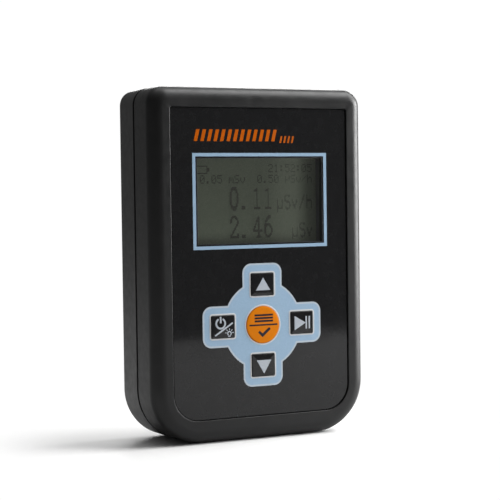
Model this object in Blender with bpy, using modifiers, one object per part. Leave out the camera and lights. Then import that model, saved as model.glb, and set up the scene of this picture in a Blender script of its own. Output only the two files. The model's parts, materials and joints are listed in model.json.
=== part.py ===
"""Pocket Geiger counter: a two-part moulded case with a display, a five-key pad, a tube and two AAA cells.

The meter stands on its bottom edge. +X is its right side seen from the front, +Y points to its back, and
+Z is up. The origin is at the middle of the bottom. Sizes are in millimetres, and MM turns them into metres.
"""

import math

import bmesh
import bpy
from mathutils import Matrix, Vector

MM = 0.001
GAP = 0.3
WELD = 0.5

# Case: outer sizes, corner radii seen from the front, and the two edge radii seen from the side.
# A draft is how far the sides, and then the top, come in between the parting line and the flat face.
WIDTH = 76.5
HEIGHT = 112.0
DEPTH = 26.8
TOP_CORNER = 5.6
BOTTOM_CORNER = 17.0
FRONT_EDGE = 4.2
BACK_EDGE = 1.5
NO_DRAFT = (0.0, 0.0)
BACK_DRAFT = (0.85, 0.35)
WALL = 2.2
FRONT_Y = -DEPTH / 2
BACK_Y = DEPTH / 2
INNER_FRONT_Y = FRONT_Y + WALL
INNER_BACK_Y = BACK_Y - WALL

# Parting groove between the two shells, with the tongue that closes it from inside.
SEAM_Y = -0.3
SEAM_WIDTH = 1.0
TONGUE_INSET = 1.3
TONGUE_END_Y = 1.9
REBATE_INSET = 1.0
GASKET_OUTSIDE = 0.55
GASKET_INSIDE = 1.0
GASKET_HALF = 0.2
FRONT_END_Y = SEAM_Y - SEAM_WIDTH / 2
BACK_END_Y = SEAM_Y + SEAM_WIDTH / 2

# Graphic overlay and the pocket it lies in.
OVERLAY_HALF = 31.5
OVERLAY_LOW = 7.6
OVERLAY_HIGH = 105.3
OVERLAY_TOP_CORNER = 0.6
OVERLAY_BOTTOM_CORNER = 8.5
OVERLAY_Y = FRONT_Y + 0.4
OVERLAY_THICK = 0.5
POCKET_Y = OVERLAY_Y + OVERLAY_THICK + GAP

# Display window, and the display stack behind it.
WINDOW_HALF = 22.8
WINDOW_LOW = 62.35
WINDOW_HIGH = 89.8
WINDOW_FIT = 0.15
LEDGE = 0.4
BEZEL_HALF = 27.4
BEZEL_LOW = 57.6
BEZEL_HIGH = 94.4
BEZEL_CORNER = 1.0
GLASS_Y = OVERLAY_Y + 5.0
GLASS_THICK = 1.8
GLASS_HALF = 26.0
GLASS_LOW = 56.9
GLASS_HIGH = 92.6
BACKLIGHT_LOW = 59.6
STRIP_INSET = 2.0
PCB_Y = -3.3
PCB_THICK = 1.6
PCB_HALF = 33.2
PCB_LOW = 14.2
PCB_HIGH = 99.8
PCB_CORNER = 1.5

# Keypad: four square keys round a round one.
PAD_Z = 36.5
KEY_PITCH_X = 14.3
KEY_PITCH_Z = 12.9
KEY_WIDTH = 8.0
KEY_HEIGHT = 7.2
KEY_CORNER = 0.5
KEY_RISE = 0.35
KEY_FIT = 0.15
KEY_EDGE = 0.25
ROUND_KEY_RADIUS = 5.95
STEM_RADIUS = 1.5
PLUNGER_RADIUS = 1.7
PLUNGER_RISE = 1.8
BORE_DEPTH = 1.2
SWITCH_SIZE = 6.2
SWITCH_HEIGHT = 3.5

# Screws: through the back into the front shell, and through the board into the front shell.
CASE_SCREWS = [(-30.5, 103.5), (30.5, 103.5), (-26.0, 10.5), (26.0, 10.5)]
PCB_SCREWS = [(-30.3, 86.0), (30.3, 86.0), (-30.3, 32.0), (30.3, 32.0)]
FRONT_BOSS_RADIUS = 3.2
BACK_BOSS_RADIUS = 4.2
PCB_BOSS_RADIUS = 2.5
SCREW_RADIUS = 1.2
SCREW_HOLE_RADIUS = 1.5
SCREW_HEAD_RADIUS = 2.3
SCREW_HEAD_HEIGHT = 2.0
PCB_HEAD_HEIGHT = 1.3
CASE_THREAD_Y = -9.0
PCB_THREAD_Y = -9.5
TIP_GAP = 1.0
CROSS_REACH = 1.4
CROSS_HALF = 0.3
CROSS_DEPTH_PART = 0.55
COUNTERBORE_RADIUS = 2.9
COUNTERBORE_Y = 9.0

# Battery bay, its door and the two AAA cells.
CELL_RADIUS = 5.25
CELL_LENGTH = 44.5
CELL_PITCH = 5.7
BAY_HALF = 11.4
BAY_LOW = 8.3
BAY_HIGH = 60.7
BAY_WALL = 1.3
BAY_FLOOR_Y = 0.3
BAY_FLOOR_THICK = 1.2
DOOR_THICK = 1.9
DOOR_HALF = 13.6
DOOR_LOW = 6.6
DOOR_HIGH = 62.4
DOOR_LEDGE = 1.8
DOOR_SEAT_Y = BACK_Y - DOOR_THICK - GAP
CELL_Y = BAY_FLOOR_Y + GAP + CELL_RADIUS
PLATE_THICK = 0.4
PLATE_HALF = 4.4
BRIDGE_HALF = 10.2
BRIDGE_DEPTH = 3.9
TAIL_HALF = 1.0
TAIL_FIT = 0.4
TAIL_Y = 2.0
TAIL_RISE = 4.5
SPRING_WIRE = 0.35
SPRING_TURNS = 3.5
SPRING_WIDE = 3.6
SPRING_NARROW = 2.1
SPRING_FLAT_PART = 0.12
NUB_RADIUS = 1.9
NUB_HEIGHT = 1.0
CELL_CHAMFER = 0.4
LEAD_RADIUS = 0.6
LEAD_BEND = 2.0

# Door: tabs under the case's edge, and a ribbed thumb grip near its top.
DOOR_CORNER = 1.0
TAB_X = 8.0
TAB_HALF = 2.5
TAB_DEPTH = 1.2
TAB_DROP = 1.8
TAB_ROOT = 1.4
TAB_FIT = 0.5
GRIP_LINES = 5
GRIP_PITCH = 1.8
GRIP_HALF = 5.5
GRIP_WIDTH = 0.9
GRIP_DEPTH = 0.6
GRIP_FROM_TOP = 5.0

# Parts on the back of the board: places are (x, z), and sizes are (width, height off the board, length).
CHIP_AT = (0.0, 77.0)
CHIP_SIZE = (10.0, 1.4, 10.0)
CRYSTAL_AT = (10.0, 78.5)
CRYSTAL_SIZE = (4.0, 3.2, 9.0)
TRANSFORMER_AT = (24.5, 47.5)
TRANSFORMER_SIZE = (12.0, 9.0, 11.0)
WINDING_DEPTH = 2.1
WINDING_LOW = 2.2
WINDING_HIGH = 6.8
CAPACITOR_AT = (24.5, 64.0)
CAPACITOR_RADIUS = 4.0
CAPACITOR_HEIGHT = 9.5
TUBE_X = -25.0
TUBE_Y = 4.9
TUBE_LOW = 18.0
TUBE_HIGH = 97.0
TUBE_CAP_RADIUS = 5.2
TUBE_BODY_RADIUS = 4.7
TUBE_CAP_LENGTH = 8.0
TUBE_CHAMFER = 0.6
TUBE_PIN_RADIUS = 0.8
TUBE_PIN_LENGTH = 2.0
CLIP_THICK = 0.6
CLIP_LENGTH = 6.0
CLIP_FOOT_HALF = 2.6
CLIP_OPEN_ANGLE = 130
BUZZER_X = 22.0
BUZZER_Z = 90.0
BUZZER_RADIUS = 6.0
BUZZER_HEIGHT = 5.0
BUZZER_PORT_RADIUS = 1.2
SOUND_SLOTS = 5
SOUND_PITCH = 2.4
SOUND_HALF = 0.6
SOUND_REACH = 4.6
SOUND_TAPER = 0.9
PCB_BACK_Y = PCB_Y + PCB_THICK

# How finely round shapes are divided.
ARC_TOP = 6
ARC_BOTTOM = 12
EDGE_STEPS = 5
ROUND_SIDES = 28
BOSS_SIDES = 20
HOLE_SIDES = 14
STEPS_PER_TURN = 10


def clear_scene():
    for old in list(bpy.data.objects):
        bpy.data.objects.remove(old)


def collection(name):
    made = bpy.data.collections.new(name)
    bpy.context.scene.collection.children.link(made)
    return made


def material(name, colour, roughness, metallic=0.0, alpha=1.0):
    """A Principled material, made once for each name."""
    found = bpy.data.materials.get(name)
    if found:
        return found
    made = bpy.data.materials.new(name)
    made.use_nodes = True
    shader = made.node_tree.nodes["Principled BSDF"]
    shader.inputs["Base Color"].default_value = (*colour, 1.0)
    shader.inputs["Roughness"].default_value = roughness
    shader.inputs["Metallic"].default_value = metallic
    shader.inputs["Alpha"].default_value = alpha
    return made


def finish(name, bm, look, smooth_angle=35.0):
    """Turns a bmesh in millimetres into a part, shaded smooth except at its sharp edges."""
    bmesh.ops.scale(bm, vec=Vector((MM, MM, MM)), verts=bm.verts)
    bmesh.ops.recalc_face_normals(bm, faces=bm.faces)
    mesh = bpy.data.meshes.new(name)
    bm.to_mesh(mesh)
    bm.free()
    mesh.shade_smooth()
    mesh.set_sharp_from_angle(angle=math.radians(smooth_angle))
    made = bpy.data.objects.new(name, mesh)
    if look is None:
        made.hide_render = True
        made.display_type = "WIRE"
        TOOLS.objects.link(made)
    else:
        mesh.materials.append(look)
        PARTS.objects.link(made)
    return made


def arc(cx, cz, radius, start, end, steps):
    """Points of an arc in the XZ plane, angles in degrees, both ends included."""
    points = []
    for step in range(steps + 1):
        angle = math.radians(start + (end - start) * step / steps)
        points.append((cx + radius * math.cos(angle), cz + radius * math.sin(angle)))
    return points


def rounded_outline(half, low, high, top_radius, bottom_radius, top_steps=4, bottom_steps=4):
    """An upright rectangle with rounded corners, centred on x = 0, counter-clockwise from its top right."""
    top_z = high - top_radius
    low_z = low + bottom_radius
    points = arc(half - top_radius, top_z, top_radius, 0, 90, top_steps)
    points += arc(top_radius - half, top_z, top_radius, 90, 180, top_steps)
    points += arc(bottom_radius - half, low_z, bottom_radius, 180, 270, bottom_steps)
    points += arc(half - bottom_radius, low_z, bottom_radius, 270, 360, bottom_steps)
    return points


def case_outline(inset, draft=NO_DRAFT):
    """The case seen from the front, pulled in by inset, and further by the draft of its sides and top."""
    side_draft, top_draft = draft
    side_inset = inset + side_draft
    return rounded_outline(
        WIDTH / 2 - side_inset,
        inset,
        HEIGHT - inset - top_draft,
        TOP_CORNER - side_inset,
        BOTTOM_CORNER - side_inset,
        ARC_TOP,
        ARC_BOTTOM,
    )


def prism(name, outline, y_from, y_to, look):
    """An outline in the XZ plane, drawn out along Y."""
    bm = bmesh.new()
    face = bm.faces.new([bm.verts.new((x, y_from, z)) for x, z in outline])
    drawn = bmesh.ops.extrude_face_region(bm, geom=[face])
    moved = [part for part in drawn["geom"] if isinstance(part, bmesh.types.BMVert)]
    bmesh.ops.translate(bm, vec=Vector((0, y_to - y_from, 0)), verts=moved)
    return finish(name, bm, look)


def box(name, low, high, look):
    """A box between two opposite corners."""
    bm = bmesh.new()
    low, high = Vector(low), Vector(high)
    bmesh.ops.create_cube(bm, size=1.0)
    bmesh.ops.scale(bm, vec=high - low, verts=bm.verts)
    bmesh.ops.translate(bm, vec=(low + high) / 2, verts=bm.verts)
    return finish(name, bm, look)


def rod(name, x, z, radius, y_from, y_to, look, sides=ROUND_SIDES):
    """A cylinder along Y."""
    bm = bmesh.new()
    bmesh.ops.create_cone(
        bm, cap_ends=True, segments=sides, radius1=radius, radius2=radius, depth=abs(y_to - y_from)
    )
    bmesh.ops.rotate(bm, matrix=Matrix.Rotation(math.radians(90), 3, "X"), verts=bm.verts)
    bmesh.ops.translate(bm, vec=Vector((x, (y_from + y_to) / 2, z)), verts=bm.verts)
    return finish(name, bm, look)


def boss(name, x, z, radius, y_from, y_to):
    return rod(name, x, z, radius, y_from, y_to, None, BOSS_SIDES)


def hole(name, x, z, y_from, y_to):
    """A screw's hole."""
    return rod(name, x, z, SCREW_HOLE_RADIUS, y_from, y_to, None, HOLE_SIDES)


def turned(name, profile, centre, look, steps=ROUND_SIDES):
    """A profile of (radius, height) points, from the top down, turned about a vertical axis at centre."""
    mesh = bpy.data.meshes.new(name)
    rows = [(radius * MM, 0, height * MM) for radius, height in profile]
    mesh.from_pydata(rows, [(i, i + 1) for i in range(len(rows) - 1)], [])
    made = bpy.data.objects.new(name, mesh)
    made.location = Vector(centre) * MM
    mesh.materials.append(look)
    PARTS.objects.link(made)
    turn = made.modifiers.new("turn", "SCREW")
    turn.steps = steps
    turn.render_steps = steps
    turn.use_merge_vertices = True
    turn.merge_threshold = 0.00001
    turn.use_smooth_shade = False
    return made


def tube(name, points, radius, look, bevel_resolution=2):
    """A round wire through points, as a mesh with its caps welded."""
    curve = bpy.data.curves.new(name, "CURVE")
    curve.dimensions = "3D"
    curve.bevel_depth = radius * MM
    curve.bevel_resolution = bevel_resolution
    curve.use_fill_caps = True
    spline = curve.splines.new("POLY")
    spline.points.add(len(points) - 1)
    for row, point in zip(spline.points, points):
        row.co = (*(Vector(point) * MM), 1.0)
    wire = bpy.data.objects.new(name + "_path", curve)
    TOOLS.objects.link(wire)
    bpy.context.view_layer.update()
    seen = wire.evaluated_get(bpy.context.evaluated_depsgraph_get())
    bm = bmesh.new()
    bm.from_mesh(bpy.data.meshes.new_from_object(seen))
    bmesh.ops.remove_doubles(bm, verts=bm.verts, dist=0.00001)
    bmesh.ops.scale(bm, vec=Vector((1 / MM, 1 / MM, 1 / MM)), verts=bm.verts)
    bpy.data.objects.remove(wire)
    return finish(name, bm, look)


def combine(target, operation, tools):
    """Adds or cuts each tool with its own Boolean."""
    for tool in tools:
        step = target.modifiers.new(tool.name, "BOOLEAN")
        step.operation = operation
        step.solver = "EXACT"
        step.object = tool
    return target


def bevel(target, width, segments=2, angle=40.0):
    edge = target.modifiers.new("edges", "BEVEL")
    edge.width = width * MM
    edge.segments = segments
    edge.limit_method = "ANGLE"
    edge.angle_limit = math.radians(angle)
    return target


def loft(name, sections, look):
    """A closed solid through outlines of equal length, each at its own depth, capped at both ends."""
    bm = bmesh.new()
    rings = []
    for outline, y in sections:
        rings.append([bm.verts.new((x, y, z)) for x, z in outline])
    bm.faces.new(rings[0])
    bm.faces.new(rings[-1])
    for near, far in zip(rings, rings[1:]):
        for i in range(len(near)):
            j = (i + 1) % len(near)
            bm.faces.new((near[i], near[j], far[j], far[i]))
    return finish(name, bm, look)


def edge_sections(radius, draft, depth, face_y, towards):
    """A rounded edge, as outlines from the flat face to the side, depth mm inside the case's outer skin."""
    inner = max(radius - depth, GAP)
    sections = []
    for step in range(EDGE_STEPS + 1):
        angle = math.radians(90.0 * step / EDGE_STEPS)
        inset = depth + inner * (1 - math.sin(angle))
        y = face_y + towards * (depth + inner * (1 - math.cos(angle)))
        sections.append((case_outline(inset, draft), y))
    return sections


def plain_section(inset, y):
    return case_outline(inset), y


def front_blank(look):
    """Skin of the front half: outside, step and tongue at the parting line, then inside."""
    outside = edge_sections(FRONT_EDGE, NO_DRAFT, 0.0, FRONT_Y, 1)
    step = [
        plain_section(0.0, FRONT_END_Y),
        plain_section(TONGUE_INSET, FRONT_END_Y),
        plain_section(TONGUE_INSET, TONGUE_END_Y),
        plain_section(WALL, TONGUE_END_Y),
    ]
    inside = edge_sections(FRONT_EDGE, NO_DRAFT, WALL, FRONT_Y, 1)
    return loft("front_shell", outside + step + inside[::-1], look)


def back_blank(look):
    """Skin of the back half: outside, rebate at the parting line, then inside."""
    outside = edge_sections(BACK_EDGE, BACK_DRAFT, 0.0, BACK_Y, -1)
    rebate_y = TONGUE_END_Y + GAP
    step = [
        plain_section(0.0, BACK_END_Y),
        plain_section(REBATE_INSET, BACK_END_Y),
        plain_section(REBATE_INSET, rebate_y),
        plain_section(WALL, rebate_y),
    ]
    inside = edge_sections(BACK_EDGE, BACK_DRAFT, WALL, BACK_Y, -1)
    return loft("rear_shell", outside + step + inside[::-1], look)


def key_places():
    """Each square key's name and centre."""
    return {
        "up": (0.0, PAD_Z + KEY_PITCH_Z),
        "down": (0.0, PAD_Z - KEY_PITCH_Z),
        "power_light": (-KEY_PITCH_X, PAD_Z),
        "play_pause": (KEY_PITCH_X, PAD_Z),
    }


def key_outline(x, z, grow):
    """The outline of a square key, grown on every side."""
    corner = KEY_CORNER + grow
    half = KEY_WIDTH / 2 + grow
    rise = KEY_HEIGHT / 2 + grow
    return [(x + px, pz) for px, pz in rounded_outline(half, z - rise, z + rise, corner, corner, 2, 2)]


def key_cutters(prefix, grow, y_from, y_to):
    """Holes for all five keys."""
    cutters = []
    for name, (x, z) in key_places().items():
        cutters.append(prism(f"{prefix}_{name}", key_outline(x, z, grow), y_from, y_to, None))
    cutters.append(rod(f"{prefix}_menu_ok", 0.0, PAD_Z, ROUND_KEY_RADIUS + grow, y_from, y_to, None))
    return cutters


def front_shell(look):
    """Front half: overlay pocket, display opening, key holes, screw bosses, and the tongue at its edge."""
    shell = front_blank(look)
    joined = []
    holes = []
    for number, (x, z) in enumerate(CASE_SCREWS, 1):
        joined.append(
            boss(f"front_boss_{number}", x, z, FRONT_BOSS_RADIUS, INNER_FRONT_Y - WELD, TONGUE_END_Y)
        )
        holes.append(hole(f"front_thread_{number}", x, z, CASE_THREAD_Y, TONGUE_END_Y + 1))
    for number, (x, z) in enumerate(PCB_SCREWS, 1):
        end = PCB_Y - GAP
        joined.append(boss(f"board_boss_{number}", x, z, PCB_BOSS_RADIUS, INNER_FRONT_Y - WELD, end))
        holes.append(hole(f"board_thread_{number}", x, z, PCB_THREAD_Y, end + 1))
    combine(shell, "UNION", joined)
    pocket = rounded_outline(
        OVERLAY_HALF + GAP,
        OVERLAY_LOW - GAP,
        OVERLAY_HIGH + GAP,
        OVERLAY_TOP_CORNER + GAP,
        OVERLAY_BOTTOM_CORNER + GAP,
        3,
        10,
    )
    holes.append(prism("overlay_pocket", pocket, FRONT_Y - 1, POCKET_Y, None))
    low = (LEDGE - WINDOW_HALF, POCKET_Y - 1, WINDOW_LOW + LEDGE)
    high = (WINDOW_HALF - LEDGE, INNER_FRONT_Y + 1, WINDOW_HIGH - LEDGE)
    holes.append(box("display_opening", low, high, None))
    holes += key_cutters("shell_hole", GAP, POCKET_Y - 1, INNER_FRONT_Y + 1)
    return combine(shell, "DIFFERENCE", holes)


def rear_shell(look):
    """Back half: rebate for the tongue, screw bosses, battery bay with its door seat, and sound slots."""
    shell = back_blank(look)
    joined = []
    holes = []
    for number, (x, z) in enumerate(CASE_SCREWS, 1):
        start = TONGUE_END_Y + GAP
        joined.append(boss(f"back_boss_{number}", x, z, BACK_BOSS_RADIUS, start, INNER_BACK_Y + WELD))
        holes.append(hole(f"back_hole_{number}", x, z, start - 1, BACK_Y + 1))
        holes.append(boss(f"counterbore_{number}", x, z, COUNTERBORE_RADIUS, COUNTERBORE_Y, BACK_Y + 1))
    bay_low = (-BAY_HALF - BAY_WALL, BAY_FLOOR_Y - BAY_FLOOR_THICK, BAY_LOW - BAY_WALL)
    bay_high = (BAY_HALF + BAY_WALL, INNER_BACK_Y + WELD, BAY_HIGH + BAY_WALL)
    joined.append(box("bay_walls", bay_low, bay_high, None))
    seat_low = (-DOOR_HALF - DOOR_LEDGE, DOOR_SEAT_Y - DOOR_LEDGE, DOOR_LOW - DOOR_LEDGE)
    seat_high = (DOOR_HALF + DOOR_LEDGE, INNER_BACK_Y + WELD, DOOR_HIGH + DOOR_LEDGE)
    joined.append(box("door_seat", seat_low, seat_high, None))
    combine(shell, "UNION", joined)
    holes.append(
        box("bay_space", (-BAY_HALF, BAY_FLOOR_Y, BAY_LOW), (BAY_HALF, BACK_Y + 1, BAY_HIGH), None)
    )
    corner = DOOR_CORNER + GAP
    door_space = rounded_outline(DOOR_HALF + GAP, DOOR_LOW - GAP, DOOR_HIGH + GAP, corner, corner)
    holes.append(prism("door_space", door_space, DOOR_SEAT_Y, BACK_Y + 1, None))
    for side in (-1, 1):
        holes.append(tab_slot(side))
        holes.append(tail_slot(side))
    for number in range(SOUND_SLOTS):
        holes.append(sound_slot(number))
    return combine(shell, "DIFFERENCE", holes)


def tab_slot(side):
    """Room under the case's lower edge for one tab of the door to swing in."""
    half = TAB_HALF + TAB_FIT
    low = (side * TAB_X - half, DOOR_SEAT_Y - 2 * TAB_DEPTH, DOOR_LOW - TAB_DROP - 2 * TAB_FIT)
    high = (side * TAB_X + half, DOOR_SEAT_Y + WELD, BAY_LOW + WELD)
    return box(f"tab_slot_{side}", low, high, None)


def tail_slot(side):
    """Slot in the bay's upper wall for the tail of one contact plate."""
    half = TAIL_HALF + TAIL_FIT
    low = (side * CELL_PITCH - half, TAIL_Y - TAIL_FIT, BAY_HIGH - WELD)
    high = (side * CELL_PITCH + half, TAIL_Y + PLATE_THICK + TAIL_FIT, BAY_HIGH + BAY_WALL + 1)
    return box(f"tail_slot_{side}", low, high, None)


def sound_slot(number):
    """One of the upright slots in front of the buzzer, shorter towards the sides."""
    from_middle = number - SOUND_SLOTS // 2
    x = BUZZER_X + SOUND_PITCH * from_middle
    reach = SOUND_REACH - SOUND_TAPER * abs(from_middle)
    outline = rounded_outline(SOUND_HALF, BUZZER_Z - reach, BUZZER_Z + reach, SOUND_HALF, SOUND_HALF)
    placed = [(x + px, pz) for px, pz in outline]
    return prism(f"sound_slot_{number}", placed, INNER_BACK_Y - 1, BACK_Y + 1, None)


def seam_gasket(look):
    """Thin black ring at the bottom of the parting groove."""
    outside = case_outline(GASKET_OUTSIDE)
    ring = prism("seam_gasket", outside, SEAM_Y - GASKET_HALF, SEAM_Y + GASKET_HALF, look)
    inside = case_outline(GASKET_INSIDE)
    bore = prism("gasket_bore", inside, SEAM_Y - 1, SEAM_Y + 1, None)
    return combine(ring, "DIFFERENCE", [bore])


def graphic_overlay(look):
    outline = rounded_outline(
        OVERLAY_HALF, OVERLAY_LOW, OVERLAY_HIGH, OVERLAY_TOP_CORNER, OVERLAY_BOTTOM_CORNER, 3, 10
    )
    film = prism("graphic_overlay", outline, OVERLAY_Y, OVERLAY_Y + OVERLAY_THICK, look)
    low = (-WINDOW_HALF, OVERLAY_Y - 1, WINDOW_LOW)
    high = (WINDOW_HALF, POCKET_Y + 1, WINDOW_HIGH)
    holes = [box("window_hole", low, high, None)]
    return combine(film, "DIFFERENCE", holes + key_cutters("film_hole", KEY_FIT, OVERLAY_Y - 1, POCKET_Y + 1))


def display_stack(looks):
    """Window, bezel, glass, backlight, and the rubber strip that joins the glass to the board."""
    fit = WINDOW_FIT
    low = (fit - WINDOW_HALF, OVERLAY_Y, WINDOW_LOW + fit)
    high = (WINDOW_HALF - fit, OVERLAY_Y + OVERLAY_THICK, WINDOW_HIGH - fit)
    box("display_window", low, high, looks["clear"])
    outline = rounded_outline(BEZEL_HALF, BEZEL_LOW, BEZEL_HIGH, BEZEL_CORNER, BEZEL_CORNER)
    bezel = prism("lcd_bezel", outline, INNER_FRONT_Y + GAP, GLASS_Y - GAP, looks["black"])
    low = (-WINDOW_HALF, INNER_FRONT_Y - 1, WINDOW_LOW)
    high = (WINDOW_HALF, GLASS_Y + 1, WINDOW_HIGH)
    combine(bezel, "DIFFERENCE", [box("bezel_hole", low, high, None)])
    back = GLASS_Y + GLASS_THICK
    box("lcd_glass", (-GLASS_HALF, GLASS_Y, GLASS_LOW), (GLASS_HALF, back, GLASS_HIGH), looks["lcd"])
    low = (-GLASS_HALF, back + GAP, BACKLIGHT_LOW)
    box("lcd_backlight", low, (GLASS_HALF, PCB_Y - GAP, GLASS_HIGH), looks["diffuser"])
    low = (STRIP_INSET - GLASS_HALF, back + GAP, GLASS_LOW + GAP)
    high = (GLASS_HALF - STRIP_INSET, PCB_Y - GAP, BACKLIGHT_LOW - GAP)
    box("lcd_connector", low, high, looks["rubber"])


def board(looks):
    """Main board with the small parts on its back."""
    outline = rounded_outline(PCB_HALF, PCB_LOW, PCB_HIGH, PCB_CORNER, PCB_CORNER)
    plate = prism("main_pcb", outline, PCB_Y, PCB_BACK_Y, looks["board"])
    holes = []
    for number, (x, z) in enumerate(PCB_SCREWS, 1):
        holes.append(hole(f"board_hole_{number}", x, z, PCB_Y - 1, PCB_BACK_Y + 1))
    combine(plate, "DIFFERENCE", holes)
    bevel(on_board("microcontroller", CHIP_AT, CHIP_SIZE, looks["chip"]), 0.25)
    bevel(on_board("crystal", CRYSTAL_AT, CRYSTAL_SIZE, looks["metal"]), 1.2, 3)
    core = on_board("hv_transformer", TRANSFORMER_AT, TRANSFORMER_SIZE, looks["ferrite"])
    combine(core, "DIFFERENCE", [winding_window(side) for side in (-1, 1)])
    on = PCB_BACK_Y + GAP
    x, z = CAPACITOR_AT
    can = rod("hv_capacitor", x, z, CAPACITOR_RADIUS, on, on + CAPACITOR_HEIGHT, looks["metal"], 24)
    bevel(can, 0.5, 1)
    top = on + BUZZER_HEIGHT
    buzzer = rod("buzzer", BUZZER_X, BUZZER_Z, BUZZER_RADIUS, on, top, looks["black"], 24)
    port_start = on + 0.4 * BUZZER_HEIGHT
    port = rod("buzzer_port", BUZZER_X, BUZZER_Z, BUZZER_PORT_RADIUS, port_start, top + 1, None, 10)
    bevel(buzzer, 0.4, 1)
    combine(buzzer, "DIFFERENCE", [port])


def on_board(name, at, size, look):
    """A box that stands on the back of the board."""
    x, z = at
    width, height, length = size
    on = PCB_BACK_Y + GAP
    low = (x - width / 2, on, z - length / 2)
    return box(name, low, (x + width / 2, on + height, z + length / 2), look)


def winding_window(side):
    """The space in one side of the transformer's core where the winding runs."""
    x = TRANSFORMER_AT[0] + side * (TRANSFORMER_SIZE[0] / 2 + 1 - (WINDING_DEPTH + 1) / 2)
    half = (WINDING_DEPTH + 1) / 2
    reach = TRANSFORMER_SIZE[2] / 2 + 1
    on = PCB_BACK_Y + GAP
    low = (x - half, on + WINDING_LOW, TRANSFORMER_AT[1] - reach)
    high = (x + half, on + WINDING_HIGH, TRANSFORMER_AT[1] + reach)
    return box(f"winding_window_{side}", low, high, None)


def tube_and_clips(looks):
    """Geiger-Mueller tube: thin wall between two metal caps, with a pin at each end, in two spring clips."""
    length = TUBE_HIGH - TUBE_LOW
    half = length / 2
    cap = half - TUBE_CAP_LENGTH
    tip = half + TUBE_PIN_LENGTH
    profile = [(0.0, tip), (TUBE_PIN_RADIUS, tip), (TUBE_PIN_RADIUS, half)]
    profile += [(TUBE_CAP_RADIUS - TUBE_CHAMFER, half), (TUBE_CAP_RADIUS, half - TUBE_CHAMFER)]
    profile += [(TUBE_CAP_RADIUS, cap), (TUBE_BODY_RADIUS, cap)]
    lower = [(radius, -height) for radius, height in reversed(profile)]
    turned("gm_tube", profile + lower, (TUBE_X, TUBE_Y, (TUBE_LOW + TUBE_HIGH) / 2), looks["tube"])
    for name, low in (("top", TUBE_HIGH - 1.0 - CLIP_LENGTH), ("bottom", TUBE_LOW + 1.0)):
        tube_clip(name, low, looks["metal"])


def tube_clip(name, low, look):
    """A spring clip: a ring round the tube's cap, open at its back, on a foot that stands on the board."""
    inner = TUBE_CAP_RADIUS + GAP
    start = CLIP_OPEN_ANGLE
    end = 540 - CLIP_OPEN_ANGLE
    outline = arc(TUBE_X, TUBE_Y, inner + CLIP_THICK, start, end, 18)
    outline += arc(TUBE_X, TUBE_Y, inner, end, start, 18)
    bm = bmesh.new()
    face = bm.faces.new([bm.verts.new((x, y, low)) for x, y in outline])
    drawn = bmesh.ops.extrude_face_region(bm, geom=[face])
    moved = [part for part in drawn["geom"] if isinstance(part, bmesh.types.BMVert)]
    bmesh.ops.translate(bm, vec=Vector((0, 0, CLIP_LENGTH)), verts=moved)
    clip = finish(f"tube_clip_{name}", bm, look)
    foot_low = (TUBE_X - CLIP_FOOT_HALF, PCB_BACK_Y + GAP, low + CLIP_THICK)
    foot_high = (TUBE_X + CLIP_FOOT_HALF, TUBE_Y - inner - CLIP_THICK / 3, low + CLIP_LENGTH - CLIP_THICK)
    combine(clip, "UNION", [box(f"clip_foot_{name}", foot_low, foot_high, None)])


def key_with_switch(name, x, z, cap, looks):
    """One key on its stem, the plunger that it pushes, and the switch under it.

    The key's own origin is on the line that it travels along.
    """
    top = PCB_Y - GAP - SWITCH_HEIGHT
    stem_end = top - PLUNGER_RISE
    stem = rod(f"stem_{name}", x, z, STEM_RADIUS, OVERLAY_Y + 0.2, stem_end, None, HOLE_SIDES)
    bevel(cap, KEY_EDGE, 2, 60.0)
    combine(cap, "UNION", [stem])
    set_origin(cap, (x, OVERLAY_Y, z))
    end = top + BORE_DEPTH / 2
    plunger = rod(f"plunger_{name}", x, z, PLUNGER_RADIUS, stem_end + GAP, end, looks["plunger"], HOLE_SIDES)
    set_origin(plunger, (x, OVERLAY_Y, z))
    half = SWITCH_SIZE / 2
    low = (x - half, top, z - half)
    body = box(f"switch_{name}", low, (x + half, PCB_Y - GAP, z + half), looks["chip"])
    bore_end = top + BORE_DEPTH
    bore = rod(f"switch_bore_{name}", x, z, PLUNGER_RADIUS + GAP, top - 1, bore_end, None, HOLE_SIDES)
    combine(body, "DIFFERENCE", [bore])


def set_origin(target, point):
    """Moves an object's origin to a point, leaving its shape where it is."""
    place = Vector(point) * MM
    target.data.transform(Matrix.Translation(-place))
    target.location = place


def keypad(looks):
    front = OVERLAY_Y - KEY_RISE
    back = OVERLAY_Y + OVERLAY_THICK
    for name, (x, z) in key_places().items():
        cap = prism(f"key_{name}", key_outline(x, z, 0.0), front, back, looks["key"])
        key_with_switch(name, x, z, cap, looks)
    cap = rod("key_menu_ok", 0.0, PAD_Z, ROUND_KEY_RADIUS, front, back, looks["orange"], 40)
    key_with_switch("menu_ok", 0.0, PAD_Z, cap, looks)


def screw(name, x, z, head_from, head_to, tip, looks):
    """A cross-recessed screw along Y, its head at the back."""
    made = rod(name, x, z, SCREW_HEAD_RADIUS, head_from, head_to, looks["metal"], 18)
    bevel(made, 0.3, 1)
    shank = rod(f"shank_{name}", x, z, SCREW_RADIUS, tip, head_from + WELD, None, 10)
    combine(made, "UNION", [shank])
    bottom = head_to - (head_to - head_from) * CROSS_DEPTH_PART
    reach, half = CROSS_REACH, CROSS_HALF
    wide = box(f"cross_wide_{name}", (x - reach, bottom, z - half), (x + reach, head_to + 1, z + half), None)
    tall = box(f"cross_tall_{name}", (x - half, bottom, z - reach), (x + half, head_to + 1, z + reach), None)
    combine(wide, "UNION", [tall])
    combine(made, "DIFFERENCE", [wide])


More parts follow.
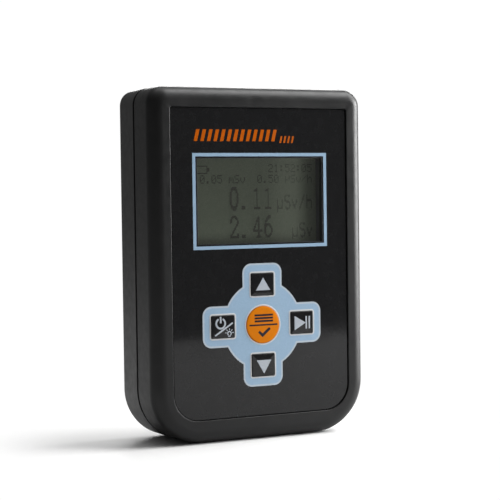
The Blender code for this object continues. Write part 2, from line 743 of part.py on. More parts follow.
def screws(looks):
    for number, (x, z) in enumerate(CASE_SCREWS, 1):
        head = COUNTERBORE_Y + GAP
        tip = CASE_THREAD_Y + TIP_GAP
        screw(f"case_screw_{number}", x, z, head, head + SCREW_HEAD_HEIGHT, tip, looks)
    for number, (x, z) in enumerate(PCB_SCREWS, 1):
        head = PCB_BACK_Y + GAP
        tip = PCB_THREAD_Y + TIP_GAP
        screw(f"pcb_screw_{number}", x, z, head, head + PCB_HEAD_HEIGHT, tip, looks)


def coil(centre, low, high):
    """Points up a conical spring, wide at its lower end, with a closed turn at each end."""
    points = []
    count = int(SPRING_TURNS * STEPS_PER_TURN)
    flat = SPRING_FLAT_PART
    for step in range(count + 1):
        part = step / count
        angle = 2 * math.pi * SPRING_TURNS * part
        rise = min(max((part - flat) / (1 - 2 * flat), 0.0), 1.0)
        radius = SPRING_WIDE + (SPRING_NARROW - SPRING_WIDE) * rise
        height = low + (high - low) * rise
        points.append((centre + radius * math.cos(angle), CELL_Y + radius * math.sin(angle), height))
    return points


def battery(looks):
    """Two AAA cells in series, their contacts, and the leads to the board."""
    neck = CELL_LENGTH - NUB_HEIGHT
    shoulder = CELL_RADIUS - CELL_CHAMFER
    profile = [(0.0, CELL_LENGTH), (NUB_RADIUS, CELL_LENGTH), (NUB_RADIUS, neck), (shoulder, neck)]
    profile += [(CELL_RADIUS, neck - CELL_CHAMFER), (CELL_RADIUS, CELL_CHAMFER), (shoulder, 0.0), (0.0, 0.0)]
    plate_top = BAY_HIGH - GAP
    bridge_top = BAY_LOW + GAP + PLATE_THICK
    first_low = plate_top - PLATE_THICK - GAP - CELL_LENGTH
    turned("battery_cell_1", profile, (-CELL_PITCH, CELL_Y, first_low), looks["cell"])
    second = turned("battery_cell_2", profile, (CELL_PITCH, CELL_Y, 0.0), looks["cell"])
    second.rotation_euler = (math.pi, 0.0, 0.0)
    second.location.z = (bridge_top + GAP + CELL_LENGTH) * MM
    for name, side in (("positive", -1), ("negative", 1)):
        contact_plate(name, side * CELL_PITCH, plate_top, looks)
    low = (-BRIDGE_HALF, CELL_Y - BRIDGE_DEPTH, BAY_LOW + GAP)
    box("contact_bridge", low, (BRIDGE_HALF, CELL_Y + BRIDGE_DEPTH, bridge_top), looks["metal"])
    wire = SPRING_WIRE
    start = bridge_top + GAP + wire
    end = first_low - GAP - wire
    tube("contact_spring_lower", coil(-CELL_PITCH, start, end), wire, looks["metal"], 1)
    start = plate_top - PLATE_THICK - GAP - wire
    end = bridge_top + 2 * GAP + CELL_LENGTH + wire
    tube("contact_spring_upper", coil(CELL_PITCH, start, end), wire, looks["metal"], 1)
    for name, side in (("positive", -1), ("negative", 1)):
        battery_lead(name, side * CELL_PITCH, looks[name])


def contact_plate(name, x, top, looks):
    """A flat contact at the top of the bay, with a tail that goes up through the bay's wall."""
    low = (x - PLATE_HALF, CELL_Y - PLATE_HALF, top - PLATE_THICK)
    high = (x + PLATE_HALF, CELL_Y + PLATE_HALF, top)
    plate = box(f"contact_plate_{name}", low, high, looks["metal"])
    low = (x - TAIL_HALF, TAIL_Y, top - PLATE_THICK / 2)
    high = (x + TAIL_HALF, TAIL_Y + PLATE_THICK, BAY_HIGH + TAIL_RISE)
    combine(plate, "UNION", [box(f"tail_{name}", low, high, None)])


def battery_lead(name, x, look):
    """A wire from a contact's tail, bent through a right angle to meet the board."""
    y = TAIL_Y + PLATE_THICK / 2
    start = BAY_HIGH + TAIL_RISE + GAP
    bend = start + 1.0
    points = [(x, y, start), (x, y, bend)]
    for step in range(1, 7):
        angle = math.radians(15.0 * step)
        points.append((x, y - LEAD_BEND * (1 - math.cos(angle)), bend + LEAD_BEND * math.sin(angle)))
    points.append((x, PCB_BACK_Y + GAP, bend + LEAD_BEND))
    tube(f"battery_lead_{name}", points, LEAD_RADIUS, look)


def battery_door(look):
    """Door of the bay: a plate with two tabs under the case's edge and a thumb grip, hinged at its foot."""
    outline = rounded_outline(DOOR_HALF, DOOR_LOW, DOOR_HIGH, DOOR_CORNER, DOOR_CORNER)
    door = prism("battery_door", outline, BACK_Y - DOOR_THICK, BACK_Y, look)
    tabs = []
    for side in (-1, 1):
        left = side * TAB_X - TAB_HALF
        right = side * TAB_X + TAB_HALF
        bottom = DOOR_SEAT_Y - TAB_DEPTH
        top = DOOR_LOW + TAB_ROOT
        low = (left, bottom, DOOR_LOW - TAB_DROP)
        tabs.append(box(f"tab_{side}", low, (right, DOOR_SEAT_Y - GAP / 2, top), None))
        low = (left, bottom, DOOR_LOW + GAP / 2)
        tabs.append(box(f"tab_neck_{side}", low, (right, BACK_Y - DOOR_THICK / 2, top), None))
    combine(door, "UNION", tabs)
    cuts = []
    for number in range(GRIP_LINES):
        z = DOOR_HIGH - GRIP_FROM_TOP - GRIP_PITCH * number
        half = GRIP_WIDTH / 2
        slot = rounded_outline(GRIP_HALF, z - half, z + half, half * 0.98, half * 0.98)
        cuts.append(prism(f"grip_{number}", slot, BACK_Y - GRIP_DEPTH, BACK_Y + 1, None))
    combine(door, "DIFFERENCE", cuts)
    set_origin(door, (0.0, BACK_Y, DOOR_LOW))


def build():
    looks = {
        "case": material("case_plastic", (0.022, 0.022, 0.023), 0.55),
        "seal": material("seal_rubber", (0.006, 0.006, 0.006), 0.7),
        "film": material("overlay_film", (0.012, 0.012, 0.013), 0.25),
        "clear": material("window_plastic", (0.9, 0.92, 0.92), 0.05, alpha=0.2),
        "black": material("black_plastic", (0.012, 0.012, 0.012), 0.5),
        "lcd": material("display_glass", (0.07, 0.08, 0.06), 0.2),
        "diffuser": material("diffuser", (0.75, 0.76, 0.72), 0.4),
        "rubber": material("strip_rubber", (0.05, 0.05, 0.06), 0.7),
        "board": material("board_laminate", (0.02, 0.12, 0.05), 0.4),
        "chip": material("chip_resin", (0.02, 0.02, 0.02), 0.5),
        "plunger": material("plunger_plastic", (0.03, 0.03, 0.03), 0.4),
        "ferrite": material("ferrite", (0.06, 0.06, 0.065), 0.6),
        "metal": material("plated_metal", (0.62, 0.62, 0.6), 0.3, metallic=1.0),
        "tube": material("tube_metal", (0.5, 0.46, 0.36), 0.35, metallic=0.9),
        "key": material("key_black", (0.012, 0.012, 0.012), 0.3),
        "orange": material("key_orange", (0.72, 0.18, 0.012), 0.3),
        "cell": material("cell_jacket", (0.1, 0.12, 0.16), 0.35, metallic=0.5),
        "positive": material("lead_red", (0.5, 0.02, 0.02), 0.4),
        "negative": material("lead_black", (0.015, 0.015, 0.015), 0.4),
    }
    front_shell(looks["case"])
    rear_shell(looks["case"])
    seam_gasket(looks["seal"])
    graphic_overlay(looks["film"])
    display_stack(looks)
    board(looks)
    tube_and_clips(looks)
    keypad(looks)
    screws(looks)
    battery(looks)
    battery_door(looks["case"])


clear_scene()
PARTS = collection("geiger_counter")
TOOLS = collection("tools")
build()
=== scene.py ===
"""How the pocket Geiger counter looks: shells, printed film, dot display, domed keys and a plain studio.

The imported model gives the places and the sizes. Lengths here are in millimetres until a mesh is finished.
"""

import json
import math

import bmesh
import bpy
from mathutils import Matrix, Vector


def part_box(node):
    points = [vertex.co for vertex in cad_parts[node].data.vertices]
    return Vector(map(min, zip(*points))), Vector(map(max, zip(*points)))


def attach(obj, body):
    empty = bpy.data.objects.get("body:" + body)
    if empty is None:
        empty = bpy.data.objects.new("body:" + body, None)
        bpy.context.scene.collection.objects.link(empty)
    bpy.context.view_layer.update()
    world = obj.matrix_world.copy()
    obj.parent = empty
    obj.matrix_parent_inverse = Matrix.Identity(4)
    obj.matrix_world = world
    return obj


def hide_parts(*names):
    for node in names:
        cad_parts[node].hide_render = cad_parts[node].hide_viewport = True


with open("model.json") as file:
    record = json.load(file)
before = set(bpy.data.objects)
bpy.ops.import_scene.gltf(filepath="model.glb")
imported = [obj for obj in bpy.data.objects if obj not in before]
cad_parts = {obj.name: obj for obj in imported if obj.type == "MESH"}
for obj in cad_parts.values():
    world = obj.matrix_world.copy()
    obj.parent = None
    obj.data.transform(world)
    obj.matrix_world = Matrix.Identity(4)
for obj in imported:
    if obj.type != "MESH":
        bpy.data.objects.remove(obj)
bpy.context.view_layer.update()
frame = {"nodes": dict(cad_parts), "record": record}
NODES = frame["nodes"]
MM = 0.001
STOOD_FOR = set()


def extent(name):
    """The lowest and highest corners of a CAD node, in millimetres."""
    low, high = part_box(name)
    return low / MM, high / MM


# Driving dimensions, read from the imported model.
FRONT_LOW, FRONT_HIGH = extent("front_shell")
_, REAR_HIGH = extent("rear_shell")
GASKET_LOW, GASKET_HIGH = extent("seam_gasket")
FILM_LOW, FILM_HIGH = extent("graphic_overlay")
PANE_LOW, PANE_HIGH = extent("display_window")
BEZEL_LOW, BEZEL_HIGH = extent("lcd_bezel")
GLASS_LOW, GLASS_HIGH = extent("lcd_glass")
DOOR_LOW, DOOR_HIGH = extent("battery_door")
HALF = FRONT_HIGH.x
HEIGHT = FRONT_HIGH.z
FRONT_Y = FRONT_LOW.y
BACK_Y = REAR_HIGH.y
TONGUE_END_Y = FRONT_HIGH.y
SEAM_Y = (GASKET_LOW.y + GASKET_HIGH.y) / 2
FILM_Y = FILM_LOW.y

# Shape of the case, as its design gives it.
GAP = 0.3
WALL = 2.2
TOP_CORNER = 5.6
BOTTOM_CORNER = 17.0
FRONT_EDGE = 4.2
BACK_EDGE = 1.5
NO_DRAFT = (0.0, 0.0)
BACK_DRAFT = (0.85, 0.35)
SEAM_WIDTH = 1.0
TONGUE_INSET = 1.3
REBATE_INSET = 1.0
FILM_TOP_CORNER = 0.6
FILM_BOTTOM_CORNER = 8.5
FILM_EDGE = 0.1
LIP = 0.18
SEAM_LIP = 0.12
PANE_LEDGE = 0.1
BREAK = 0.25
FRONT_END_Y = SEAM_Y - SEAM_WIDTH / 2
BACK_END_Y = SEAM_Y + SEAM_WIDTH / 2

# Printing and symbols.
INK = 0.012
FLOAT = 0.004
EDGE_LINE = 0.55
KEY_LINE = 0.4
RIDGE = 0.1
PRINT_TUCK = 0.08
KEY_FIT = 0.15
KEY_CORNER = 0.4
LEAST_CORNER = 0.06
KEY_PRINT_OVER = 0.15

# Edges are drawn sharp from this many degrees.
SHARP = 32.0

# Lengths below this are taken as nothing.
TINY = 0.00001

# How finely round shapes are divided.
TOP_STEPS = 12
BOTTOM_STEPS = 24
EDGE_STEPS = 14
LIP_STEPS = 3
RIDGE_STEPS = 6
ROUND_STEPS = 72


# ---------------------------------------------------------------- outlines


def arc(cx, cz, radius, start, end, steps):
    """Points of an arc in the XZ plane, angles in degrees, both ends included."""
    points = []
    for step in range(steps + 1):
        angle = math.radians(start + (end - start) * step / steps)
        points.append((cx + radius * math.cos(angle), cz + radius * math.sin(angle)))
    return points


def circle(cx, cz, radius, steps=ROUND_STEPS):
    return arc(cx, cz, radius, 0, 360, steps)[:-1]


def rounded(left, right, low, high, top_radius, bottom_radius, top_steps=6, bottom_steps=6):
    """An upright rectangle with rounded corners, counter-clockwise from its top right."""
    points = arc(right - top_radius, high - top_radius, top_radius, 0, 90, top_steps)
    points += arc(left + top_radius, high - top_radius, top_radius, 90, 180, top_steps)
    points += arc(left + bottom_radius, low + bottom_radius, bottom_radius, 180, 270, bottom_steps)
    points += arc(right - bottom_radius, low + bottom_radius, bottom_radius, 270, 360, bottom_steps)
    return points


def rectangle(left, right, low, high):
    return [(right, high), (left, high), (left, low), (right, low)]


def around(x, z, half_x, half_z):
    """A rectangle round a middle."""
    return rectangle(x - half_x, x + half_x, z - half_z, z + half_z)


def sides(low, high, inset=0.0):
    """Left, right, low and high edges between two corners, pulled in by inset."""
    return low.x + inset, high.x - inset, low.z + inset, high.z - inset


def case_outline(inset, draft=NO_DRAFT):
    """The case seen from the front, pulled in by inset, and further by the draft of its sides and top."""
    side = inset + draft[0]
    top = HEIGHT - inset - draft[1]
    radii = (TOP_CORNER - side, BOTTOM_CORNER - side)
    return rounded(side - HALF, HALF - side, inset, top, *radii, TOP_STEPS, BOTTOM_STEPS)


def film_outline(grow):
    """The printed film's outline, grown on every side."""
    radii = (FILM_TOP_CORNER + grow, FILM_BOTTOM_CORNER + grow)
    return rounded(*sides(FILM_LOW, FILM_HIGH, -grow), *radii, TOP_STEPS, BOTTOM_STEPS)


def quarter(radius, steps):
    """A quarter round from a flat face to a side, as pairs of inset from the side and depth from the face."""
    pairs = []
    for step in range(steps + 1):
        angle = math.radians(90.0 * step / steps)
        pairs.append((radius * (1 - math.sin(angle)), radius * (1 - math.cos(angle))))
    return pairs


# ---------------------------------------------------------------- meshes


def placed(name, data):
    """A new object in the scene."""
    made = bpy.data.objects.new(name, data)
    bpy.context.scene.collection.objects.link(made)
    return made


def as_object(name, bm):
    """A bmesh as a new object in the scene."""
    mesh = bpy.data.meshes.new(name)
    bm.to_mesh(mesh)
    bm.free()
    return placed(name, mesh)


def finished(name, bm, look, replaced=(), body="case"):
    """Turns a bmesh in millimetres into a piece, and says what it rides on, is made of and stands for.

    Its slot is its look's.
    """
    bmesh.ops.scale(bm, vec=Vector((MM, MM, MM)), verts=bm.verts)
    bmesh.ops.recalc_face_normals(bm, faces=bm.faces)
    made = as_object(name, bm)
    made.data.materials.append(LOOKS[look])
    made.data.shade_smooth()
    made.data.set_sharp_from_angle(angle=math.radians(SHARP))
    weigh = made.modifiers.new("normals", "WEIGHTED_NORMAL")
    weigh.keep_sharp = True
    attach(made, body)
    if replaced:
        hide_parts(*replaced)
        STOOD_FOR.update(replaced)
    return made


def lofted(sections):
    """A closed bmesh through outlines of equal length, each at its own depth, capped at both ends."""
    bm = bmesh.new()
    rings = [[bm.verts.new((x, y, z)) for x, z in outline] for outline, y in sections]
    bm.faces.new(rings[0])
    bm.faces.new(rings[-1])
    for near, far in zip(rings, rings[1:]):
        join_rows(bm, near, far)
    bmesh.ops.recalc_face_normals(bm, faces=bm.faces)
    return bm


def hoop(sections):
    """A closed ring through outlines of equal length, the last of which joins the first again."""
    bm = bmesh.new()
    rows = [[bm.verts.new((x, y, z)) for x, z in outline] for outline, y in sections]
    for near, far in zip(rows, rows[1:] + rows[:1]):
        join_rows(bm, near, far)
    return bm


def join_rows(bm, near, far):
    """Faces between two closed rows of vertices."""
    for i in range(len(near)):
        j = (i + 1) % len(near)
        bm.faces.new((near[i], near[j], far[j], far[i]))


def prism(outline, y_from, y_to):
    return lofted([(outline, y_from), (outline, y_to)])


def brick(low, high):
    """A box between two corners."""
    bm = bmesh.new()
    low, high = Vector(low), Vector(high)
    bmesh.ops.create_cube(bm, size=1.0)
    bmesh.ops.scale(bm, vec=high - low, verts=bm.verts)
    bmesh.ops.translate(bm, vec=(low + high) / 2, verts=bm.verts)
    return bm


def flared(outline_at, y_from, face_y, flare=BREAK):
    """A cutter that widens by flare where it leaves the back face, so that its hole has a broken edge."""
    return lofted([
        (outline_at(0.0), y_from),
        (outline_at(0.0), face_y - flare),
        (outline_at(flare), face_y),
        (outline_at(flare), face_y + 1),
    ])


def carve(bm, steps):
    """Unions and differences on a bmesh, one after another. Each step is an operation and its tools."""
    tools = []
    body = loose(bm)
    for operation, shapes in steps:
        for shape in shapes:
            tool = loose(shape)
            tools.append(tool)
            step = body.modifiers.new("step", "BOOLEAN")
            step.operation = operation
            step.solver = "EXACT"
            step.object = tool
    out = evaluated(body)
    for used in tools + [body]:
        mesh = used.data
        bpy.data.objects.remove(used)
        bpy.data.meshes.remove(mesh)
    return out


def loose(bm):
    """A bmesh as an object of its own, which is left out of the picture."""
    made = as_object("tool", bm)
    made.hide_render = True
    return made


def evaluated(made):
    """An object as its modifiers or its curve leave it, as a bmesh."""
    bpy.context.view_layer.update()
    seen = made.evaluated_get(bpy.context.evaluated_depsgraph_get())
    out = bmesh.new()
    out.from_mesh(seen.to_mesh())
    seen.to_mesh_clear()
    return out


def plate(loops, front_y, thickness):
    """A flat plate whose outline and holes are closed loops of (x, z) points, as a bmesh."""
    curve = bpy.data.curves.new("plate", "CURVE")
    curve.dimensions = "2D"
    curve.fill_mode = "BOTH"
    curve.extrude = thickness / 2
    for loop in loops:
        spline = curve.splines.new("POLY")
        spline.points.add(len(loop) - 1)
        spline.use_cyclic_u = True
        for row, (x, z) in zip(spline.points, loop):
            row.co = (x, z, 0.0, 1.0)
    holder = placed("plate", curve)
    out = evaluated(holder)
    bpy.data.objects.remove(holder)
    bpy.data.curves.remove(curve)
    bmesh.ops.remove_doubles(out, verts=out.verts, dist=TINY)
    upright = Matrix.Rotation(math.radians(90), 4, "X")
    upright.translation = Vector((0.0, front_y + thickness / 2, 0.0))
    bmesh.ops.transform(out, matrix=upright, verts=out.verts)
    return out


def lathed_along_y(profile, x, z, steps):
    """Points of (radius, height along +Y) turned about Y. They start and end on the axis."""
    bm = bmesh.new()
    turns = [2 * math.pi * step / steps for step in range(steps)]
    rows = []
    for radius, height in profile:
        if radius < TINY:
            rows.append([bm.verts.new((0.0, 0.0, height))])
            continue
        rows.append([bm.verts.new((radius * math.cos(a), radius * math.sin(a), height)) for a in turns])
    for near, far in zip(rows, rows[1:]):
        for i in range(steps):
            j = (i + 1) % steps
            corners = [near[i % len(near)], near[j % len(near)], far[j % len(far)], far[i % len(far)]]
            unique = list(dict.fromkeys(corners))
            if len(unique) > 2:
                bm.faces.new(unique)
    bmesh.ops.recalc_face_normals(bm, faces=bm.faces)
    lay = Matrix.Rotation(math.radians(-90), 4, "X")
    bmesh.ops.transform(bm, matrix=Matrix.Translation((x, 0.0, z)) @ lay, verts=bm.verts)
    return bm


# ---------------------------------------------------------------- materials


# The part of a noise that is spread over a colour or a roughness.
NOISE_RANGE = (0.3, 0.7)

# How bright the backdrop, and the floor that fades into it, are when seen directly.
WHITE = 1.02

# Painted light on the display: an emission that stands in for the room's light beyond what its reflector
# mirrors. Its colour, where it grows from left to right, where it falls off beside the surround as painted
# shade, and to what share.
PAINTED_LIGHT = (0.0275, 0.0285, 0.024)
PAINTED_LIGHT_GROWS = (3.0 * MM, 13.5 * MM)
PAINTED_SHADE_REACH = (15.0 * MM, 19.5 * MM)
PAINTED_LIGHT_LEFT_OVER = 0.36

# A cell's silver band: where it begins, from the cells' middle towards its positive end, and its colour.
BAND_FROM = -17.5
BAND_EDGE = 0.1
BAND_COLOUR = (0.42, 0.43, 0.44, 1.0)

PANE_IOR = 1.45

# The stretch of metal whose fine lines run upright, along the tube.
UPRIGHT_LINES = (12.0, 12.0, 1.0)


def feed(tree, socket, value):
    """Links a socket to another one, or gives it a value."""
    if isinstance(value, bpy.types.NodeSocket):
        tree.links.new(value, socket)
    else:
        socket.default_value = value


def node(tree, kind, **values):
    """A new shader node with the inputs that are given, their names with underscores for spaces."""
    made = tree.nodes.new("ShaderNode" + kind)
    for name, value in values.items():
        feed(tree, made.inputs[name.replace("_", " ")], value)
    return made


def drive(made, name, value):
    """Feeds an input of a material's own shader."""
    feed(made.node_tree, made.node_tree.nodes["Principled BSDF"].inputs[name], value)


def material(name, colour, roughness, metallic=0.0, **sockets):
    """A Principled material. Sockets are named with underscores for spaces."""
    made = bpy.data.materials.new(name)
    made.use_nodes = True
    drive(made, "Base Color", (*colour, 1.0))
    drive(made, "Roughness", roughness)
    drive(made, "Metallic", metallic)
    for socket, value in sockets.items():
        drive(made, socket.replace("_", " "), value)
    return made


def coordinates(made):
    """The material's own texture coordinates: places on the object, in metres."""
    nodes = made.node_tree.nodes
    found = nodes.get("Texture Coordinate") or nodes.new("ShaderNodeTexCoord")
    return found.outputs["Object"]


def noise(made, scale, detail=2.0, roughness=0.5, stretch=(1.0, 1.0, 1.0)):
    """A noise of a given number of features per metre, stretched along the axes."""
    tree = made.node_tree
    place = node(tree, "Mapping", Vector=coordinates(made), Scale=stretch).outputs["Vector"]
    texture = node(tree, "TexNoise", Vector=place, Scale=scale, Detail=detail, Roughness=roughness)
    return texture.outputs["Fac"]


def mapped(tree, source, reach, values, kind="SMOOTHSTEP"):
    """Maps the range reach of a source to the range values, as a smooth step unless said otherwise."""
    low, high = reach
    bottom, top = values
    made = node(tree, "MapRange", From_Min=low, From_Max=high, To_Min=bottom, To_Max=top, Value=source)
    made.interpolation_type = kind
    return made.outputs["Result"]


def maths(tree, operation, first, second=0.0):
    made = tree.nodes.new("ShaderNodeMath")
    made.operation = operation
    feed(tree, made.inputs[0], first)
    feed(tree, made.inputs[1], second)
    return made.outputs["Value"]


def blended(tree, share, first, second):
    """A mix of two shaders, with a share of the second one."""
    made = node(tree, "MixShader", Fac=share)
    tree.links.new(first, made.inputs[1])
    tree.links.new(second, made.inputs[2])
    return made.outputs["Shader"]


def mixed(tree, share, first, second):
    """A mix of two colours, with a share of the second one."""
    made = tree.nodes.new("ShaderNodeMix")
    made.data_type = "RGBA"
    for name, value in (("Factor", share), ("A", first), ("B", second)):
        feed(tree, made.inputs[name], value)
    return made.outputs["Result"]


def vary_colour(made, source, dark, light):
    """Colours the surface between two colours by a noise."""
    share = mapped(made.node_tree, source, NOISE_RANGE, (0.0, 1.0), "LINEAR")
    drive(made, "Base Color", mixed(made.node_tree, share, (*dark, 1.0), (*light, 1.0)))


def vary_roughness(made, source, low, high):
    drive(made, "Roughness", mapped(made.node_tree, source, NOISE_RANGE, (low, high), "LINEAR"))


def bump(made, source, height_mm, strength, after=None):
    """A bump of a height in millimetres, on top of an earlier one."""
    tree = made.node_tree
    raised = node(tree, "Bump", Strength=strength, Distance=height_mm * MM, Height=source)
    if after:
        tree.links.new(after, raised.inputs["Normal"])
    drive(made, "Normal", raised.outputs["Normal"])
    return raised.outputs["Normal"]


def textured(made, dark, light, tone, haze, rough, grain, height_mm, strength):
    """Varies the colour by the noise tone and the roughness by haze, and adds a bump of grain."""
    vary_colour(made, noise(made, *tone), dark, light)
    vary_roughness(made, noise(made, *haze), *rough)
    return bump(made, noise(made, *grain), height_mm, strength)


def case_plastic():
    """Satin black moulding: spark-eroded grain, faint mottling, slow waviness."""
    made = material("case_plastic", (0.009, 0.009, 0.0092), 0.4, IOR=1.42)
    shades = (0.0078, 0.0078, 0.008), (0.0108, 0.0108, 0.011)
    first = textured(made, *shades, (160.0, 3.0), (420.0, 4.0), (0.32, 0.42), (2600.0, 2.0, 0.6), 0.02, 0.55)
    bump(made, noise(made, 60.0, 1.0), 0.03, 0.25, first)
    return made


def film_material(name, dark, light, rough=0.05, ior=1.42):
    """Glossy printed film: slight orange peel and faint handling haze."""
    made = material(name, light, rough, IOR=ior)
    textured(made, dark, light, (300.0, 3.0), (90.0, 4.0), (rough, rough + 0.05), (110.0, 1.0), 0.01, 0.12)
    return made


def ink_material(name, dark, light):
    """Screen-printed ink under the film's gloss: a fine grain in the colour."""
    made = material(name, light, 0.2, IOR=1.42)
    textured(made, dark, light, (2200.0, 2.0), (120.0, 3.0), (0.16, 0.28), (1500.0, 2.0), 0.004, 0.2)
    return made


def plain_plastic(name, dark, light, rough, grain=1800.0, level=0.5):
    """A plastic or rubber with a fine grain."""
    made = material(name, light, rough, Specular_IOR_Level=level)
    haze = (rough - 0.06, rough + 0.08)
    textured(made, dark, light, (260.0, 3.0), (500.0, 3.0), haze, (grain, 2.0), 0.015, 0.4)
    return made


def brushed_metal(name, dark, light, rough, stretch=(1.0, 1.0, 12.0)):
    """Plated or drawn metal with fine lines across its stretch."""
    made = material(name, light, rough, metallic=1.0)
    lines = noise(made, 900.0, 3.0, 0.6, stretch)
    vary_colour(made, lines, dark, light)
    vary_roughness(made, noise(made, 300.0, 3.0), rough - 0.08, rough + 0.1)
    bump(made, lines, 0.006, 0.25)
    return made


def clear_sheet(name, tint, mirror, roughness, share=None):
    """A thin clear sheet: it lets lamps through, and mirrors a share, or by angle where none is given."""
    made = bpy.data.materials.new(name)
    made.use_nodes = True
    tree = made.node_tree
    tree.nodes.remove(tree.nodes["Principled BSDF"])
    clear = node(tree, "BsdfTransparent", Color=(*tint, 1.0))
    shine = node(tree, "BsdfGlossy", Color=(mirror, mirror, mirror, 1.0), Roughness=roughness)
    if share is None:
        share = node(tree, "Fresnel", IOR=PANE_IOR).outputs["Fac"]
    mix = blended(tree, share, clear.outputs["BSDF"], shine.outputs["BSDF"])
    tree.links.new(mix, tree.nodes["Material Output"].inputs["Surface"])
    return made


def parted(tree, vector):
    """The X, Y and Z of a vector, as sockets by name."""
    return node(tree, "SeparateXYZ", Vector=vector).outputs


def add_painted_light(made, at_left, at_right):
    """Painted light in the display, an emission with no lamp behind it: it grows to the right, then falls off
    beside the surround as painted shade.
    """
    tree = made.node_tree
    drive(made, "Emission Color", (*PAINTED_LIGHT, 1.0))
    across = parted(tree, coordinates(made))["X"]
    growth = mapped(tree, across, PAINTED_LIGHT_GROWS, (at_left, at_right))
    fall = mapped(tree, across, PAINTED_SHADE_REACH, (1.0, PAINTED_LIGHT_LEFT_OVER))
    drive(made, "Emission Strength", maths(tree, "MULTIPLY", growth, fall))


def display_material():
    """Reflective display: an olive grey rear mirror, frosted, with a fine sparkle, and painted light that
    grows to the right and fades as painted shade beside the surround.
    """
    made = material("display_glass", (0.3, 0.32, 0.26), 0.34, metallic=0.8)
    shades = (0.27, 0.285, 0.23), (0.34, 0.36, 0.29)
    textured(made, *shades, (3000.0, 2.0), (200.0, 3.0), (0.3, 0.38), (4000.0, 1.0), 0.004, 0.2)
    add_painted_light(made, 1.0, 1.7)
    return made


def dot_material():
    """A dot that is switched on: dark, with a little of the display's painted light on it."""
    made = ink_material("dot_dark", (0.125, 0.12, 0.103), (0.14, 0.134, 0.115))
    add_painted_light(made, 0.45, 1.35)
    return made


def cell_jacket():
    """Printed foil round a cell: dark, with a plain silver band at its positive end.

    The cell at x < 0 has that end at its top, and the other one at its bottom.
    """
    made = brushed_metal("cell_jacket", (0.05, 0.065, 0.095), (0.08, 0.1, 0.14), 0.34)
    tree = made.node_tree
    low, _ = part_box("battery_cell_1")
    _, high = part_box("battery_cell_2")
    parts = parted(tree, coordinates(made))
    side = maths(tree, "SIGN", parts["X"])
    lift = maths(tree, "SUBTRACT", parts["Z"], (low.z + high.z) / 2)
    along = maths(tree, "MULTIPLY", side, lift)
    share = mapped(tree, along, (BAND_FROM * MM, (BAND_FROM + BAND_EDGE) * MM), (1.0, 0.0))
    jacket = tree.nodes["Principled BSDF"].inputs["Base Color"].links[0].from_socket
    drive(made, "Base Color", mixed(tree, share, jacket, BAND_COLOUR))
    return made


# Plastics and rubbers: dark and light shades, and roughness. A fourth value is the grain's scale.
PLASTICS = {
    "black_plastic": ((0.008,) * 3, (0.014,) * 3, 0.5),
    "diffuser": ((0.68, 0.69, 0.65), (0.78, 0.79, 0.75), 0.4),
    "strip_rubber": ((0.03, 0.03, 0.035), (0.08, 0.08, 0.09), 0.7),
    "board_laminate": ((0.012, 0.085, 0.035), (0.022, 0.13, 0.055), 0.35),
    "chip_resin": ((0.014,) * 3, (0.024,) * 3, 0.5),
    "plunger_plastic": ((0.022,) * 3, (0.034,) * 3, 0.4),
    "ferrite": ((0.045, 0.045, 0.05), (0.07, 0.07, 0.075), 0.6, 900.0),
    "lead_red": ((0.4, 0.012, 0.012), (0.52, 0.022, 0.02), 0.4),
    "lead_black": ((0.01,) * 3, (0.018,) * 3, 0.4),
    "surround": ((0.13, 0.13, 0.142), (0.16, 0.16, 0.175), 0.35),
}

# Films and lacquers: dark and light shades. The orange key is less glossy, and mirrors less.
FILMS = {
    "overlay_film": ((0.009, 0.009, 0.0095), (0.0115, 0.0115, 0.012)),
    "key_black": ((0.008, 0.008, 0.0085), (0.012, 0.012, 0.0125)),
    "key_orange": ((0.6, 0.168, 0.001), (0.66, 0.186, 0.002), 0.3, 1.2),
}

# Inks: dark and light shades.
INKS = {
    "ink_blue": ((0.275, 0.4, 0.53), (0.3, 0.43, 0.57)),
    "ink_pale": ((0.42, 0.48, 0.54), (0.46, 0.52, 0.58)),
    "ink_orange": ((0.45, 0.088, 0.0), (0.5, 0.1, 0.001)),
    "ink_symbol": ((0.39, 0.425, 0.47), (0.43, 0.465, 0.515)),
    "ink_ring": ((0.56, 0.57, 0.58), (0.61, 0.62, 0.63)),
    "ink_navy": ((0.008, 0.008, 0.018), (0.012, 0.012, 0.024)),
}


def build_looks():
    """Every material, by the record's slot and by what the printing adds."""
    looks = {
        "case_plastic": case_plastic(),
        # The groove strip: its own black rubber, made darker and duller as painted shade for the depth of the
        # groove.
        "seal_rubber": plain_plastic("seal_rubber", (0.001,) * 3, (0.002,) * 3, 0.8, level=0.02),
        "window_plastic": clear_sheet("window_plastic", (0.93, 0.945, 0.94), 1.0, 0.08),
        "display_glass": display_material(),
        "plated_metal": brushed_metal("plated_metal", (0.52, 0.52, 0.5), (0.68, 0.68, 0.66), 0.3),
        "tube_metal": brushed_metal("tube_metal", (0.42, 0.38, 0.3), (0.55, 0.5, 0.4), 0.34, UPRIGHT_LINES),
        "cell_jacket": cell_jacket(),
        "dot_dark": dot_material(),
        "clear_glass": clear_sheet("clear_glass", (0.97, 0.98, 0.96), 0.8, 0.15, 0.02),
    }
    for make, table in ((plain_plastic, PLASTICS), (film_material, FILMS), (ink_material, INKS)):
        for name, values in table.items():
            looks[name] = make(name, *values)
    return looks


LOOKS = build_looks()


# ---------------------------------------------------------------- case


def skin_rings(radius, draft, depth, face_y, towards):
    """The rounded edge from the flat face to the side, depth mm inside the outer skin."""
    inner = max(radius - depth, GAP)
    rings = []
    for inset, fall in quarter(inner, EDGE_STEPS):
        rings.append((case_outline(depth + inset, draft), face_y + towards * (depth + fall)))
    return rings


def seam_lip(end_y, towards):
    """The broken edge where the side turns into the parting groove."""
    rings = []
    for inset, fall in reversed(quarter(SEAM_LIP, LIP_STEPS)):
        rings.append((case_outline(inset), end_y - towards * fall))
    return rings


